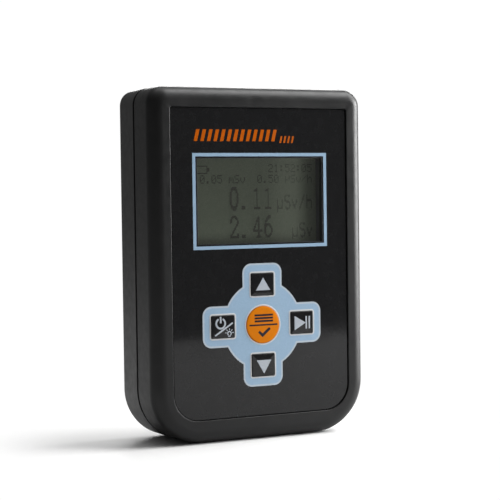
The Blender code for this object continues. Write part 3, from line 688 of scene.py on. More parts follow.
def shell_rings(radius, draft, face_y, end_y, towards, steps):
    """A shell's wall: its outer skin, the steps of its parting edge as (inset, y), and its inner skin."""
    rings = skin_rings(radius, draft, 0.0, face_y, towards)
    rings += seam_lip(end_y, towards)
    rings += [(case_outline(inset), y) for inset, y in steps]
    return rings + skin_rings(radius, draft, WALL, face_y, towards)[::-1]


def key_boxes():
    """Each key's left, right, low and high edges, and its front."""
    found = {}
    for name in ("up", "down", "power_light", "play_pause", "menu_ok"):
        low, high = extent("key_" + name)
        wider = 0.0 if name == "menu_ok" else KEY_PRINT_OVER
        found[name] = (low.x - wider, high.x + wider, low.z, high.z, low.y)
    return found


KEYS = key_boxes()
PAD_X = (KEYS["menu_ok"][0] + KEYS["menu_ok"][1]) / 2
PAD_Z = (KEYS["menu_ok"][2] + KEYS["menu_ok"][3]) / 2
ROUND_RADIUS = (KEYS["menu_ok"][1] - KEYS["menu_ok"][0]) / 2


def key_outline(name, grow):
    """A key's outline, grown on every side."""
    left, right, low, high, _ = KEYS[name]
    if name == "menu_ok":
        return circle(PAD_X, PAD_Z, ROUND_RADIUS + grow)
    corner = max(KEY_CORNER + grow, LEAST_CORNER)
    return rounded(left - grow, right + grow, low - grow, high + grow, corner, corner)


def front_case():
    """Front half of the case, with the film's pocket, its broken edge, and the parting groove's front."""
    pocket_y = FILM_HIGH.y + GAP
    rings = [(film_outline(GAP), pocket_y)]
    for grow, fall in reversed(quarter(LIP, LIP_STEPS)):
        rings.append((film_outline(GAP + grow), FRONT_Y + fall))
    steps = [(TONGUE_INSET, FRONT_END_Y), (TONGUE_INSET, TONGUE_END_Y), (WALL, TONGUE_END_Y)]
    rings += shell_rings(FRONT_EDGE, NO_DRAFT, FRONT_Y, FRONT_END_Y, 1, steps)
    inner_y = FRONT_Y + WALL + 1
    left, right, low, high = sides(PANE_LOW, PANE_HIGH, PANE_LEDGE)
    holes = [brick((left, pocket_y - 1, low), (right, inner_y, high))]
    for name in KEYS:
        holes.append(prism(key_outline(name, GAP), pocket_y - 1, inner_y))
    bm = carve(lofted(rings), [("DIFFERENCE", holes)])
    finished("front_case", bm, "case_plastic", ["front_shell"])


def screw_places():
    """Middle of each case screw's head, seen from the back, and the depth of the heads."""
    places = []
    for number in range(1, 5):
        low, high = extent(f"case_screw_{number}")
        places.append(((low.x + high.x) / 2, (low.z + high.z) / 2, high.y))
    return places


# The battery bay, the door, the screws' counterbores and the sound slots. Added walls sink in by WELD.
WELD = 0.5
BAY_HALF = 11.4
BAY_LOW = 8.3
BAY_HIGH = 60.7
BAY_WALL = 1.3
BAY_FLOOR_Y = 0.3
DOOR_LEDGE = 1.8
DOOR_CORNER = 1.0
DOOR_THICK = 1.9
DOOR_BOTTOM = 6.6
DOOR_EDGE = 0.35
TAB_X = 8.0
TAB_HALF = 2.5
TAB_DEPTH = 1.2
TAB_ROOT = 1.4
TAB_FIT = 0.5
TAB_AIR = 0.15
TAB_SLOT_DROP = 2.8
GRIP_LINES = 5
GRIP_PITCH = 1.8
GRIP_HALF = 5.5
GRIP_WIDTH = 0.9
GRIP_DEPTH = 0.6
GRIP_BREAK = 0.15
GRIP_FROM_TOP = 5.0
ARROW_FROM_TOP = 16.0
ARROW_HALF = 2.2
ARROW_LENGTH = 3.2
ARROW_DEPTH = 0.3
COUNTERBORE_RADIUS = 2.9
COUNTERBORE_WALL = 1.3
COUNTERBORE_STEPS = 40
COUNTERBORE_Y = 9.0
SOUND_X = 22.0
SOUND_Z = 90.0
SOUND_SLOTS = 5
SOUND_PITCH = 2.4
SOUND_HALF = 0.6
SOUND_REACH = 4.6
SOUND_TAPER = 0.9
PILL_ROUND = 0.98

# Screw heads: radius, height, rim, dome, shank and point, and the cross cut into them.
HEAD_RADIUS = 2.3
HEAD_HEIGHT = 2.0
HEAD_RIM = 0.9
HEAD_DOME = 1.1
SHANK_RADIUS = 1.2
POINT_RADIUS = 0.5
POINT_LENGTH = 1.6
CROSS_HALF = 1.5
CROSS_SLOT = 0.3
CROSS_DEPTH = 1.1
CROSS_TAPER = 0.12
CROSS_FLARE = 0.1
CROSS_ABOVE = 0.2
HEAD_STEPS = 48


def door_outline(grow):
    corner = DOOR_CORNER + grow
    low, high = DOOR_BOTTOM - grow, DOOR_HIGH.z + grow
    return rounded(DOOR_LOW.x - grow, DOOR_HIGH.x + grow, low, high, corner, corner)


def pill(x, z, half_x, half_z, grow):
    """A slot with nearly round ends, from its middle and half-sizes, grown on every side."""
    radius = PILL_ROUND * (min(half_x, half_z) + grow)
    half_x, half_z = half_x + grow, half_z + grow
    return rounded(x - half_x, x + half_x, z - half_z, z + half_z, radius, radius)


def sound_slot(number):
    """One upright slot in front of the buzzer, shorter towards the sides."""
    from_middle = number - SOUND_SLOTS // 2
    x = SOUND_X + SOUND_PITCH * from_middle
    reach = SOUND_REACH - SOUND_TAPER * abs(from_middle)
    return flared(lambda grow: pill(x, SOUND_Z, SOUND_HALF, reach, grow), BACK_Y - WALL - 1, BACK_Y)


def rear_case():
    """Rear half of the case: door recess, battery bay, counterbores and sound slots, with broken edges."""
    rebate_y = TONGUE_END_Y + GAP
    steps = [(REBATE_INSET, BACK_END_Y), (REBATE_INSET, rebate_y), (WALL, rebate_y)]
    rings = shell_rings(BACK_EDGE, BACK_DRAFT, BACK_Y, BACK_END_Y, -1, steps)
    inner_y = BACK_Y - WALL + WELD
    seat_y = BACK_Y - DOOR_THICK - GAP
    joined = [
        brick((-BAY_HALF - BAY_WALL, BAY_FLOOR_Y - BAY_WALL, BAY_LOW - BAY_WALL),
              (BAY_HALF + BAY_WALL, inner_y, BAY_HIGH + BAY_WALL)),
        brick((DOOR_LOW.x - DOOR_LEDGE, seat_y - DOOR_LEDGE, DOOR_BOTTOM - DOOR_LEDGE),
              (DOOR_HIGH.x + DOOR_LEDGE, inner_y, DOOR_HIGH.z + DOOR_LEDGE)),
    ]
    holes = [brick((-BAY_HALF, BAY_FLOOR_Y, BAY_LOW), (BAY_HALF, BACK_Y + 1, BAY_HIGH))]
    holes.append(flared(lambda grow: door_outline(GAP + grow), seat_y, BACK_Y))
    for side in (-1, 1):
        half = TAB_HALF + TAB_FIT
        low = (side * TAB_X - half, seat_y - 2 * TAB_DEPTH, DOOR_BOTTOM - TAB_SLOT_DROP)
        holes.append(brick(low, (side * TAB_X + half, seat_y + TAB_FIT, BAY_LOW + TAB_FIT)))
    for x, z, _ in screw_places():
        wall = circle(x, z, COUNTERBORE_RADIUS + COUNTERBORE_WALL, COUNTERBORE_STEPS)
        joined.append(prism(wall, rebate_y, inner_y))
        holes.append(flared(lambda grow: circle(x, z, COUNTERBORE_RADIUS + grow), COUNTERBORE_Y, BACK_Y))
    for number in range(SOUND_SLOTS):
        holes.append(sound_slot(number))
    bm = carve(lofted(rings), [("UNION", joined), ("DIFFERENCE", holes)])
    finished("rear_case", bm, "case_plastic", ["rear_shell"])


# The groove strip's section: places across it in half-widths, and how far each lies inside its crown.
STRIP_SECTION = [(-1, 0.12), (-0.6, 0.03), (0, 0), (0.6, 0.03), (1, 0.12), (1, 0.45), (-1, 0.45)]


def gasket():
    """The black strip in the groove, slightly crowned."""
    outside = HALF - GASKET_HIGH.x
    half = (GASKET_HIGH.y - GASKET_LOW.y) / 2
    rings = [(case_outline(outside + inset), SEAM_Y + across * half) for across, inset in STRIP_SECTION]
    finished("groove_strip", hoop(rings), "seal_rubber", ["seam_gasket"])


def battery_cover():
    """The door: rounded outer edge, two tabs, ribbed grip and a plain arrow that shows where to press."""
    inner_y = BACK_Y - DOOR_THICK
    rings = [(door_outline(0.0), inner_y)]
    edge = reversed(quarter(DOOR_EDGE, LIP_STEPS))
    rings += [(door_outline(-inset), BACK_Y - fall) for inset, fall in edge]
    seat_y = inner_y - GAP
    tab_y = seat_y - TAB_DEPTH
    root = DOOR_BOTTOM + TAB_ROOT
    joined = []
    for side in (-1, 1):
        left, right = side * TAB_X - TAB_HALF, side * TAB_X + TAB_HALF
        joined.append(brick((left, tab_y, DOOR_LOW.z), (right, seat_y - TAB_AIR, root)))
        joined.append(brick((left, tab_y, DOOR_BOTTOM + TAB_AIR), (right, BACK_Y - 1, root)))
    cuts = []
    grip_y = BACK_Y - GRIP_DEPTH
    for number in range(GRIP_LINES):
        z = DOOR_HIGH.z - GRIP_FROM_TOP - GRIP_PITCH * number
        line = flared(lambda grow: pill(0.0, z, GRIP_HALF, GRIP_WIDTH / 2, grow), grip_y, BACK_Y, GRIP_BREAK)
        cuts.append(line)
    top = DOOR_HIGH.z - ARROW_FROM_TOP
    arrow = [(-ARROW_HALF, top), (0.0, top - ARROW_LENGTH), (ARROW_HALF, top)]
    cuts.append(prism(arrow, BACK_Y - ARROW_DEPTH, BACK_Y + 1))
    bm = carve(lofted(rings), [("UNION", joined), ("DIFFERENCE", cuts)])
    finished("battery_cover", bm, "case_plastic", ["battery_door"], "battery_door")


def case_screws():
    """Dome-headed screws with a tapered cross, one in each counterbore."""
    for number, (x, z, top) in enumerate(screw_places(), 1):
        base = top - HEAD_HEIGHT
        flat = HEAD_RADIUS - HEAD_RIM
        low, _ = extent(f"case_screw_{number}")
        profile = [(0.0, low.y), (POINT_RADIUS, low.y), (SHANK_RADIUS, low.y + POINT_LENGTH)]
        profile += [(SHANK_RADIUS, base), (HEAD_RADIUS, base), (HEAD_RADIUS, base + HEAD_RIM)]
        for step in range(1, 6):
            angle = math.radians(15 * step)
            rise = base + HEAD_RIM + HEAD_DOME * math.sin(angle)
            profile.append((flat + HEAD_RIM * math.cos(angle), rise))
        profile += [(flat, top), (0.0, top)]
        cuts = []
        for wide, tall in ((CROSS_HALF, CROSS_SLOT), (CROSS_SLOT, CROSS_HALF)):
            cuts.append(lofted([
                (around(x, z, wide - CROSS_TAPER, tall - CROSS_TAPER), top - CROSS_DEPTH),
                (around(x, z, wide + CROSS_FLARE, tall + CROSS_FLARE), top + CROSS_ABOVE),
            ]))
        bm = carve(lathed_along_y(profile, x, z, HEAD_STEPS), [("DIFFERENCE", cuts)])
        finished(f"screw_head_{number}", bm, "plated_metal", [f"case_screw_{number}"])


# ---------------------------------------------------------------- film and print


def pane_hole(more=0.0):
    """The film's opening for the window, grown by more."""
    return rectangle(*sides(PANE_LOW, PANE_HIGH, -KEY_FIT - more))


def film():
    """The glossy film, with a softened edge, and holes for the window and the keys."""
    rings = [(film_outline(-inset), FILM_Y + fall) for inset, fall in quarter(FILM_EDGE, LIP_STEPS)]
    rings.append((film_outline(0.0), FILM_HIGH.y))
    holes = [prism(pane_hole(), FILM_Y - 1, FILM_HIGH.y + 1)]
    for name in KEYS:
        holes.append(prism(key_outline(name, KEY_FIT), FILM_Y - 1, FILM_HIGH.y + 1))
    bm = carve(lofted(rings), [("DIFFERENCE", holes)])
    finished("front_film", bm, "overlay_film", ["graphic_overlay"])


def printed(name, loops, ink):
    """Ink on the film: a thin plate whose front stands a hair proud."""
    finished(name, plate(loops, FILM_Y - INK, INK + FLOAT), ink)


# The pad's cross: half-lengths and half-widths of its arms, and the disc behind them.
ARM_REACH_X = 21.38
ARM_REACH_Z = 19.63
ARM_HALF_X = 7.08
ARM_HALF_Z = 6.54
DISC_RADIUS = 14.16
ARM_CORNER = 3.0


def cross_outline(inset):
    """The keypad's printed cross, pulled in by inset."""
    reach_x, reach_z = ARM_REACH_X - inset, ARM_REACH_Z - inset
    half_x, half_z = ARM_HALF_X - inset, ARM_HALF_Z - inset
    disc = DISC_RADIUS - inset
    corner = ARM_CORNER - inset
    start = math.degrees(math.asin(half_z / disc))
    end = math.degrees(math.acos(half_x / disc))
    quadrant = arc(reach_x - corner, half_z - corner, corner, 0, 90, 8)
    quadrant += arc(0.0, 0.0, disc, start, end, 12)
    quadrant += arc(half_x - corner, reach_z - corner, corner, 0, 90, 8)
    left_up = [(-x, z) for x, z in reversed(quadrant)]
    left_down = [(-x, -z) for x, z in quadrant]
    right_down = [(x, -z) for x, z in reversed(quadrant)]
    return [(PAD_X + x, PAD_Z + z) for x, z in quadrant + left_up + left_down + right_down]


# The line round the display: how far its edges lie outside the window's opening.
FRAME_OUTSIDE = 1.4
FRAME_INSIDE = 0.33


def frame_print():
    """The pale blue line round the display window."""
    printed("print_frame", [pane_hole(FRAME_OUTSIDE), pane_hole(FRAME_INSIDE)], "ink_blue")


def pad_print():
    """The keypad's cross, its pale edge, and the pale line round each key."""
    printed("print_pad_edge", [cross_outline(0.0), cross_outline(EDGE_LINE)], "ink_pale")
    holes = [key_outline(name, KEY_FIT + KEY_LINE) for name in KEYS]
    printed("print_pad_field", [cross_outline(EDGE_LINE)] + holes, "ink_blue")
    for name in KEYS:
        key_ridge(name)


def key_ridge(name):
    """The embossed pale line round a key: a low rounded ridge."""
    inner = KEY_FIT - PRINT_TUCK
    middle = (inner + KEY_FIT + KEY_LINE) / 2
    half = KEY_FIT + KEY_LINE - middle
    back = FILM_Y + 0.01
    rings = [(key_outline(name, middle + half), back)]
    for step in range(RIDGE_STEPS + 1):
        angle = math.pi * step / RIDGE_STEPS
        rise = FLOAT + RIDGE * math.sin(angle)
        rings.append((key_outline(name, middle + half * math.cos(angle)), FILM_Y - rise))
    rings.append((key_outline(name, middle - half), back))
    finished(f"print_ring_{name}", hoop(rings), "ink_ring")


# A plain mark of slanted bars above the display: a long row, and a short one after it.
BARS_LEFT = -23.6
BARS_RIGHT = 6.0
BARS_LOW = 94.9
BARS_HIGH = 98.6
BARS = 13
SMALL_BARS_RIGHT = 12.3
SMALL_BARS_LOW = 94.4
SMALL_BARS_HIGH = 96.6
SMALL_BARS = 4
BAR_SLANT = 0.24
BAR_SHARE = 0.52
SMALL_BAR_SHARE = 0.45
BARS_APART = 0.9


def slanted_bars(left, right, low, high, count, share):
    """A row of bars that lean to the right, each share of the pitch wide."""
    lean = BAR_SLANT * (high - low)
    pitch = (right - left - lean) / (count - 1 + share)
    width = pitch * share
    loops = []
    for number in range(count):
        x = left + pitch * number
        loops.append([(x, low), (x + width, low), (x + width + lean, high), (x + lean, high)])
    return loops


def bars_print():
    loops = slanted_bars(BARS_LEFT, BARS_RIGHT, BARS_LOW, BARS_HIGH, BARS, BAR_SHARE)
    printed("print_bars", loops, "ink_orange")
    low, high = SMALL_BARS_LOW, SMALL_BARS_HIGH
    left = BARS_RIGHT + BARS_APART
    loops = slanted_bars(left, SMALL_BARS_RIGHT, low, high, SMALL_BARS, SMALL_BAR_SHARE)
    printed("print_small_bars", loops, "ink_orange")


# ---------------------------------------------------------------- keys


KEY_EDGE = 0.28
KEY_EDGE_STEPS = 5
KEY_DOME = 0.075
DOME_STEPS = 7
DOME_REACH = 0.93
STEM_RADIUS = 1.5
STEM_STEPS = 32
STEM_TUCK = 0.2
SYMBOL_PROUD = 0.01
SYMBOL_AHEAD = 0.5
SYMBOL_DEPTH = 0.12


def cap_mesh(name, lift=0.0):
    """A domed key cap, its edge rounded, moved forward by lift."""
    left, right, low, high, front = KEYS[name]
    reach = min(right - left, high - low) / 2 - KEY_EDGE
    back = FILM_HIGH.y
    rings = [(key_outline(name, 0.0), back - lift)]
    for inset, fall in reversed(quarter(KEY_EDGE, KEY_EDGE_STEPS)):
        rings.append((key_outline(name, -inset), front + KEY_DOME + fall - lift))
    for step in range(1, DOME_STEPS + 1):
        part = step / DOME_STEPS * DOME_REACH
        inset = KEY_EDGE + part * reach
        rise = KEY_DOME * (1 - (1 - part) ** 2)
        rings.append((key_outline(name, -inset), front + KEY_DOME - rise - lift))
    return lofted(rings)


def keys():
    """Five caps with their stems."""
    for name in KEYS:
        _, stem_end = extent("key_" + name)
        stem = prism(circle(*middle_of(name), STEM_RADIUS, STEM_STEPS), FILM_Y + STEM_TUCK, stem_end.y)
        bm = carve(cap_mesh(name), [("UNION", [stem])])
        look = "key_orange" if name == "menu_ok" else "key_black"
        finished(f"cap_{name}", bm, look, ["key_" + name], "key_" + name)


def symbol(name, key, loops, ink="ink_symbol"):
    """A symbol inlaid in a key's domed top, a hair proud of it, its loops placed from the key's middle."""
    x, z = middle_of(key)
    loops = [[(x + across, z + up) for across, up in loop] for loop in loops]
    bm = plate(loops, KEYS[key][4] - SYMBOL_AHEAD, SYMBOL_AHEAD + SYMBOL_DEPTH)
    bm = carve(bm, [("INTERSECT", [cap_mesh(key, SYMBOL_PROUD)])])
    finished(name, bm, ink, body="key_" + key)


def stroke(points, width):
    """A straight line of the given width between two points, as one loop."""
    (x0, z0), (x1, z1) = points
    length = math.hypot(x1 - x0, z1 - z0)
    across_x = -(z1 - z0) / length * width / 2
    across_z = (x1 - x0) / length * width / 2
    return [
        (x0 + across_x, z0 + across_z),
        (x0 - across_x, z0 - across_z),
        (x1 - across_x, z1 - across_z),
        (x1 + across_x, z1 + across_z),
    ]


def band(cx, cz, radius, width, start, end, steps=24):
    """Part of a ring, as one loop."""
    outer = arc(cx, cz, radius + width / 2, start, end, steps)
    return outer + arc(cx, cz, radius - width / 2, end, start, steps)


def middle_of(key):
    left, right, low, high, _ = KEYS[key]
    return (left + right) / 2, (low + high) / 2


# Each arrow's tip and base above the middle of its key, and half its width.
ARROWS = {"up": (2.15, -1.9, 2.6), "down": (-2.75, 1.6, 2.65)}
ARROW_X = 0.15

# The middle of the lamp on its key, and the reach of its rays from there.
LAMP_X = 2.15
LAMP_Z = -2.15
RAY_FROM = 1.02
RAY_TO = 1.62
RAY_WIDTH = 0.26
RAY_ANGLES = (10, 50, 90, 130, 170)

MENU_LINES = 3
MENU_LINE_PITCH = 0.95
MENU_LINE_HEIGHT = 0.62


def arrow_symbols():
    """A triangle that points up and one that points down."""
    for key, (tip, base, half) in ARROWS.items():
        symbol(f"symbol_{key}", key, [[(ARROW_X, tip), (ARROW_X - half, base), (ARROW_X + half, base)]])


def play_symbol():
    key = "play_pause"
    symbol("symbol_play", key, [[(-2.75, 2.2), (-2.75, -2.4), (1.35, -0.1)]])
    bars = [rectangle(left, right, -2.05, 2.0) for left, right in ((1.3, 1.85), (2.45, 3.0))]
    symbol("symbol_pause", key, bars)


def power_symbol():
    """Power ring and bar, a slash, and a small lamp with rays."""
    key = "power_light"
    symbol("symbol_power_ring", key, [band(-0.9, 1.1, 1.57, 0.58, 118, 422)])
    symbol("symbol_power_bar", key, [rectangle(-1.2, -0.6, 1.2, 3.25)])
    symbol("symbol_slash", key, [stroke([(-2.9, -2.7), (3.4, 1.15)], 0.5)])
    foot = rectangle(LAMP_X - 0.42, LAMP_X + 0.42, LAMP_Z - 1.0, LAMP_Z - 0.68)
    symbol("symbol_lamp", key, [band(LAMP_X, LAMP_Z, 0.62, 0.34, -55, 235), foot])
    rays = []
    for angle in RAY_ANGLES:
        across, up = math.cos(math.radians(angle)), math.sin(math.radians(angle))
        line = [(LAMP_X + reach * across, LAMP_Z + reach * up) for reach in (RAY_FROM, RAY_TO)]
        rays.append(stroke(line, RAY_WIDTH))
    symbol("symbol_rays", key, rays)


def menu_symbols():
    """A dividing line, three short bars above it and a tick below it."""
    key = "menu_ok"
    symbol("symbol_divider", key, [rectangle(-4.95, 5.2, -0.32, 0.18)], "ink_navy")
    lines = []
    for number in range(MENU_LINES):
        low = 0.85 + MENU_LINE_PITCH * number
        lines.append(rectangle(-3.1, 3.6, low, low + MENU_LINE_HEIGHT))
    symbol("symbol_menu", key, lines, "ink_navy")
    tick = [(-1.85, -2.45), (-1.3, -1.85), (-0.25, -2.75), (2.15, -0.85), (2.75, -1.45), (-0.25, -4.0)]
    symbol("symbol_tick", key, [tick], "ink_navy")


# ---------------------------------------------------------------- display


DOT_COLUMNS = 128
DOT_ROWS = 64
ACTIVE_HALF = 21.95
ACTIVE_LOW = 63.35
ACTIVE_HIGH = 87.75
DOT_FILL = 0.9
DOT_THICK = 0.012
DOT_AHEAD = 0.02
MIRROR_DEPTH = 0.55
GLASS_EDGE = 0.12
GLASS_CORNER = 0.3
GLASS_APART = 0.04
PANE_EDGE = 0.06
FACING = 0.95
BEZEL_CORNER = 1.0
BEZEL_OVER = 0.15

SMALL_FONT = {
    "0": ".###. #...# #..## #.#.# ##..# #...# .###.",
    "1": "..#.. .##.. ..#.. ..#.. ..#.. ..#.. .###.",
    "2": ".###. #...# ....# ..##. .#... #.... #####",
    "5": "##### #.... ####. ....# ....# #...# .###.",
    "6": "..##. .#... #.... ####. #...# #...# .###.",
    ".": "..... ..... ..... ..... ..... .##.. .##..",
    ":": "..... .##.. .##.. ..... .##.. .##.. .....",
    "m": "..... ..... ##.#. #.#.# #.#.# #...# #...#",
    "u": "..... #...# #...# #..## ###.# #.... #....",
    "S": ".#### #.... #.... .###. ....# ....# ####.",
    "v": "..... ..... #...# #...# #...# .#.#. ..#..",
    "/": "..... ....# ...#. ..#.. .#... #.... .....",
    "h": "#.... #.... #.##. ##..# #...# #...# #...#",
    " ": "..... ..... ..... ..... ..... ..... .....",
}


def small_text(dots, text, column, row):
    """Adds the dots of a line of five by seven letters."""
    for place, letter in enumerate(text):
        for down, line in enumerate(SMALL_FONT[letter].split()):
            for across, mark in enumerate(line):
                if mark == "#":
                    dots.add((column + 6 * place + across, row + down))


def near_line(x, y, line, reach):
    """Whether a dot is within reach of a straight line between two points."""
    x0, y0, x1, y1 = line
    length = (x1 - x0) ** 2 + (y1 - y0) ** 2
    part = max(0.0, min(1.0, ((x - x0) * (x1 - x0) + (y - y0) * (y1 - y0)) / length))
    return math.hypot(x - x0 - part * (x1 - x0), y - y0 - part * (y1 - y0)) <= reach


def near_oval(x, y, oval, reach):
    """Whether a dot is on part of an oval: middle, half-axes, start and end in degrees clockwise from +x."""
    cx, cy, rx, ry, start, end = oval
    angle = math.degrees(math.atan2((y - cy) / ry, (x - cx) / rx)) % 360
    radius = math.hypot((x - cx) / rx, (y - cy) / ry)
    within = (angle - start) % 360 <= end - start
    return within and abs(radius - 1) * min(rx, ry) <= reach


# Tall figures, 11 dots wide and 19 high, as lines and parts of ovals in dots from their top left.
TALL = {
    "0": ([(1.2, 7.0, 1.2, 11.0), (8.4, 7.0, 8.4, 11.0)], [(4.8, 9.0, 3.7, 8.6, 0, 360)]),
    "1": ([(2.6, 3.0, 5.0, 1.4), (5.0, 1.0, 5.0, 17.4), (2.0, 17.8, 8.0, 17.8)], []),
    "2": (
        [(8.0, 6.5, 1.4, 16.6), (1.4, 17.4, 8.6, 17.4), (8.6, 17.4, 8.8, 15.0)],
        [(4.8, 5.2, 3.5, 4.6, 170, 385)],
    ),
    "4": (
        [(6.6, 0.8, 6.6, 17.4), (6.4, 0.8, 1.0, 12.4), (0.8, 12.6, 9.4, 12.6), (4.4, 17.8, 8.6, 17.8)],
        [],
    ),
    "6": ([(1.4, 8.0, 1.4, 13.0)], [(4.8, 12.6, 3.5, 5.0, 0, 360), (6.6, 11.0, 5.3, 10.2, 180, 280)]),
    ".": ([(1.5, 16.5, 3.5, 16.5), (1.5, 17.5, 3.5, 17.5), (1.5, 18.0, 3.5, 18.0)], []),
}

# Letters 16 dots high, in the same way.
MEDIUM = {
    "u": ([(1.2, 5.0, 1.2, 15.5), (6.2, 5.0, 6.2, 12.0)], [(3.7, 9.4, 2.5, 2.6, 0, 180)]),
    "S": ([], [(3.6, 3.6, 2.8, 2.8, 90, 330), (3.6, 9.4, 2.8, 3.0, 270, 510)]),
    "v": ([(0.8, 5.0, 3.4, 12.0), (6.0, 5.0, 3.4, 12.0)], []),
    "/": ([(6.0, 1.0, 1.0, 12.5)], []),
    "h": ([(1.0, 0.8, 1.0, 12.2), (6.0, 8.0, 6.0, 12.2)], [(3.5, 7.6, 2.5, 2.4, 180, 360)]),
}


def drawn_text(dots, shapes, text, column, row, pitch, height, reach=0.75):
    """Adds the dots of letters that are drawn from lines and ovals."""
    for place, letter in enumerate(text):
        if letter == " ":
            continue
        lines, ovals = shapes[letter]
        for across in range(pitch):
            for down in range(height):
                on_line = any(near_line(across, down, line, reach) for line in lines)
                if on_line or any(near_oval(across, down, oval, reach) for oval in ovals):
                    dots.add((column + pitch * place + across, row + down))


def display_dots():
    """Columns and rows of the dark dots: battery, clock, two small readings and two tall ones."""
    dots = set()
    for column in range(1, 16):
        dots.update({(column, 1), (column, 7)})
    for row in range(1, 8):
        dots.update({(1, row), (15, row)})
    for row in range(3, 6):
        dots.update({(16, row), (17, row)})
    small_text(dots, "21:52:05", 80, 0)
    small_text(dots, "0.05 mSv", 8, 9)
    small_text(dots, "0.50 uSv/h", 68, 9)
    drawn_text(dots, TALL, "0.11", 38, 19, 12, 20, 0.85)
    drawn_text(dots, MEDIUM, "uSv/h", 88, 25, 8, 16)
    drawn_text(dots, TALL, "2.46", 38, 43, 12, 20, 0.85)
    drawn_text(dots, MEDIUM, "uSv", 104, 49, 8, 15)
    return sorted(dot for dot in dots if dot[0] < DOT_COLUMNS and dot[1] < DOT_ROWS)


def dot_mesh(front):
    """One small square plate for each dark dot."""
    pitch_x = 2 * ACTIVE_HALF / DOT_COLUMNS
    pitch_z = (ACTIVE_HIGH - ACTIVE_LOW) / DOT_ROWS
    bm = bmesh.new()
    for column, row in display_dots():
        x = -ACTIVE_HALF + pitch_x * (column + 0.5)
        z = ACTIVE_HIGH - pitch_z * (row + 0.5)
        corners = around(x, z, pitch_x * DOT_FILL / 2, pitch_z * DOT_FILL / 2)
        near, far = [[bm.verts.new((px, y, pz)) for px, pz in corners] for y in (front, front + DOT_THICK)]
        bm.faces.new(near)
        bm.faces.new(far[::-1])
        join_rows(bm, near, far)
    return bm


def display():
    """Clear pane, dark surround, display glass and its dots."""
    rings = []
    for inset, fall in quarter(PANE_EDGE, 2):
        rings.append((rectangle(*sides(PANE_LOW, PANE_HIGH, inset)), PANE_LOW.y + fall))
    rings.append((rectangle(*sides(PANE_LOW, PANE_HIGH)), PANE_HIGH.y))
    bm = lofted(rings)
    for face in bm.faces:
        face.material_index = 0 if abs(face.normal.y) > FACING else 1
    pane = finished("window_pane", bm, "window_plastic", ["display_window"])
    pane.data.materials.append(LOOKS["surround"])
    outer = rounded(*sides(BEZEL_LOW, BEZEL_HIGH), BEZEL_CORNER, BEZEL_CORNER)
    bm = plate([outer, pane_hole(BEZEL_OVER)], BEZEL_LOW.y, BEZEL_HIGH.y - BEZEL_LOW.y)
    finished("display_surround", bm, "surround", ["lcd_bezel"])
    mirror_y = GLASS_LOW.y + MIRROR_DEPTH
    finished("display_panel", glass_plate(mirror_y, GLASS_HIGH.y), "display_glass", ["lcd_glass"])
    bm = glass_plate(GLASS_LOW.y, mirror_y - GLASS_APART)
    finished("display_front_glass", bm, "clear_glass")
    finished("display_dots", dot_mesh(GLASS_LOW.y - DOT_AHEAD), "dot_dark")


def glass_outline(inset):
    return rounded(*sides(GLASS_LOW, GLASS_HIGH, inset), GLASS_CORNER, GLASS_CORNER)


def glass_plate(front, back):
    """One plate of the display, its front edges ground."""
    rings = [(glass_outline(inset), front + fall) for inset, fall in quarter(GLASS_EDGE, 2)]
    return lofted(rings + [(glass_outline(0.0), back)])


# ---------------------------------------------------------------- what stays as the model has it


SOFTENED = {"lcd_backlight", "lcd_connector", "main_pcb", "switch_up", "switch_down"}
SOFT_EDGE = 0.12
SOFT_FROM = 40.0


def soften(part):
    """A small bevel on a carried-over part's edges."""
    edge = part.modifiers.new("edges", "BEVEL")
    edge.width = SOFT_EDGE * MM
    edge.segments = 2
    edge.limit_method = "ANGLE"
    edge.angle_limit = math.radians(SOFT_FROM)


def carry_over():
    """Gives every part that no piece stands for its material and its slot, as the record has them."""
    for subpart in frame["record"]["subparts"]:
        name, slot = subpart["node"], subpart["material_slot"]
        if name in STOOD_FOR:
            continue
        part = NODES[name]
        part.data.materials.clear()
        part.data.materials.append(LOOKS[slot])
        if name in SOFTENED:
            soften(part)


# ---------------------------------------------------------------- studio


CAMERA_AT = (-0.24126, -0.45670, 0.07907)
CAMERA_YAW = 28.11
CAMERA_PITCH = 2.12
CAMERA_ROLL = -0.75
CAMERA_LENS = 114.19
ROOM_LIGHT = 0.12
BACKDROP_LIGHT = 0.25
CEILING_LIGHT = 0.3
FLOOR_FRONT = -0.33
FLOOR_BACK = 1.6
FLOOR_HALF = 1.2
FLOOR_PARTS = 24
FLOOR_Z = -0.0002
FLOOR_BOUNCE = 0.55
FADE_FROM = 0.05
FADE_TO = 0.09
LIT_PLACE = (0.0, 0.0, 0.05)


def camera():
    """A long lens at the left of the case, a little above its middle, looking slightly down."""
    data = bpy.data.cameras.new("camera")
    data.lens = CAMERA_LENS
    data.sensor_width = 36.0
    made = placed("camera", data)
    yaw, pitch, roll = (math.radians(a) for a in (CAMERA_YAW, CAMERA_PITCH, CAMERA_ROLL))
    turn = Matrix.Rotation(-yaw, 4, "Z") @ Matrix.Rotation(math.radians(90) - pitch, 4, "X")
    made.matrix_world = Matrix.Translation(CAMERA_AT) @ turn @ Matrix.Rotation(roll, 4, "Z")
    bpy.context.scene.camera = made


def floor():
    """A white table that ends in front of the case, so that the film mirrors it only low down.

    Seen directly, it fades into the white backdrop away from the case.
    """
    bm = bmesh.new()
    rows = []
    for i in range(FLOOR_PARTS + 1):
        y = FLOOR_FRONT + (FLOOR_BACK - FLOOR_FRONT) * i / FLOOR_PARTS
        places = [FLOOR_HALF * (2 * j / FLOOR_PARTS - 1) for j in range(FLOOR_PARTS + 1)]
        rows.append([bm.verts.new((x, y, 0.0)) for x in places])
    for below, above in zip(rows, rows[1:]):
        for j in range(FLOOR_PARTS):
            bm.faces.new((below[j], below[j + 1], above[j + 1], above[j]))
    made = as_object("floor", bm)
    made.location.z = FLOOR_Z
    made.data.materials.append(floor_material())


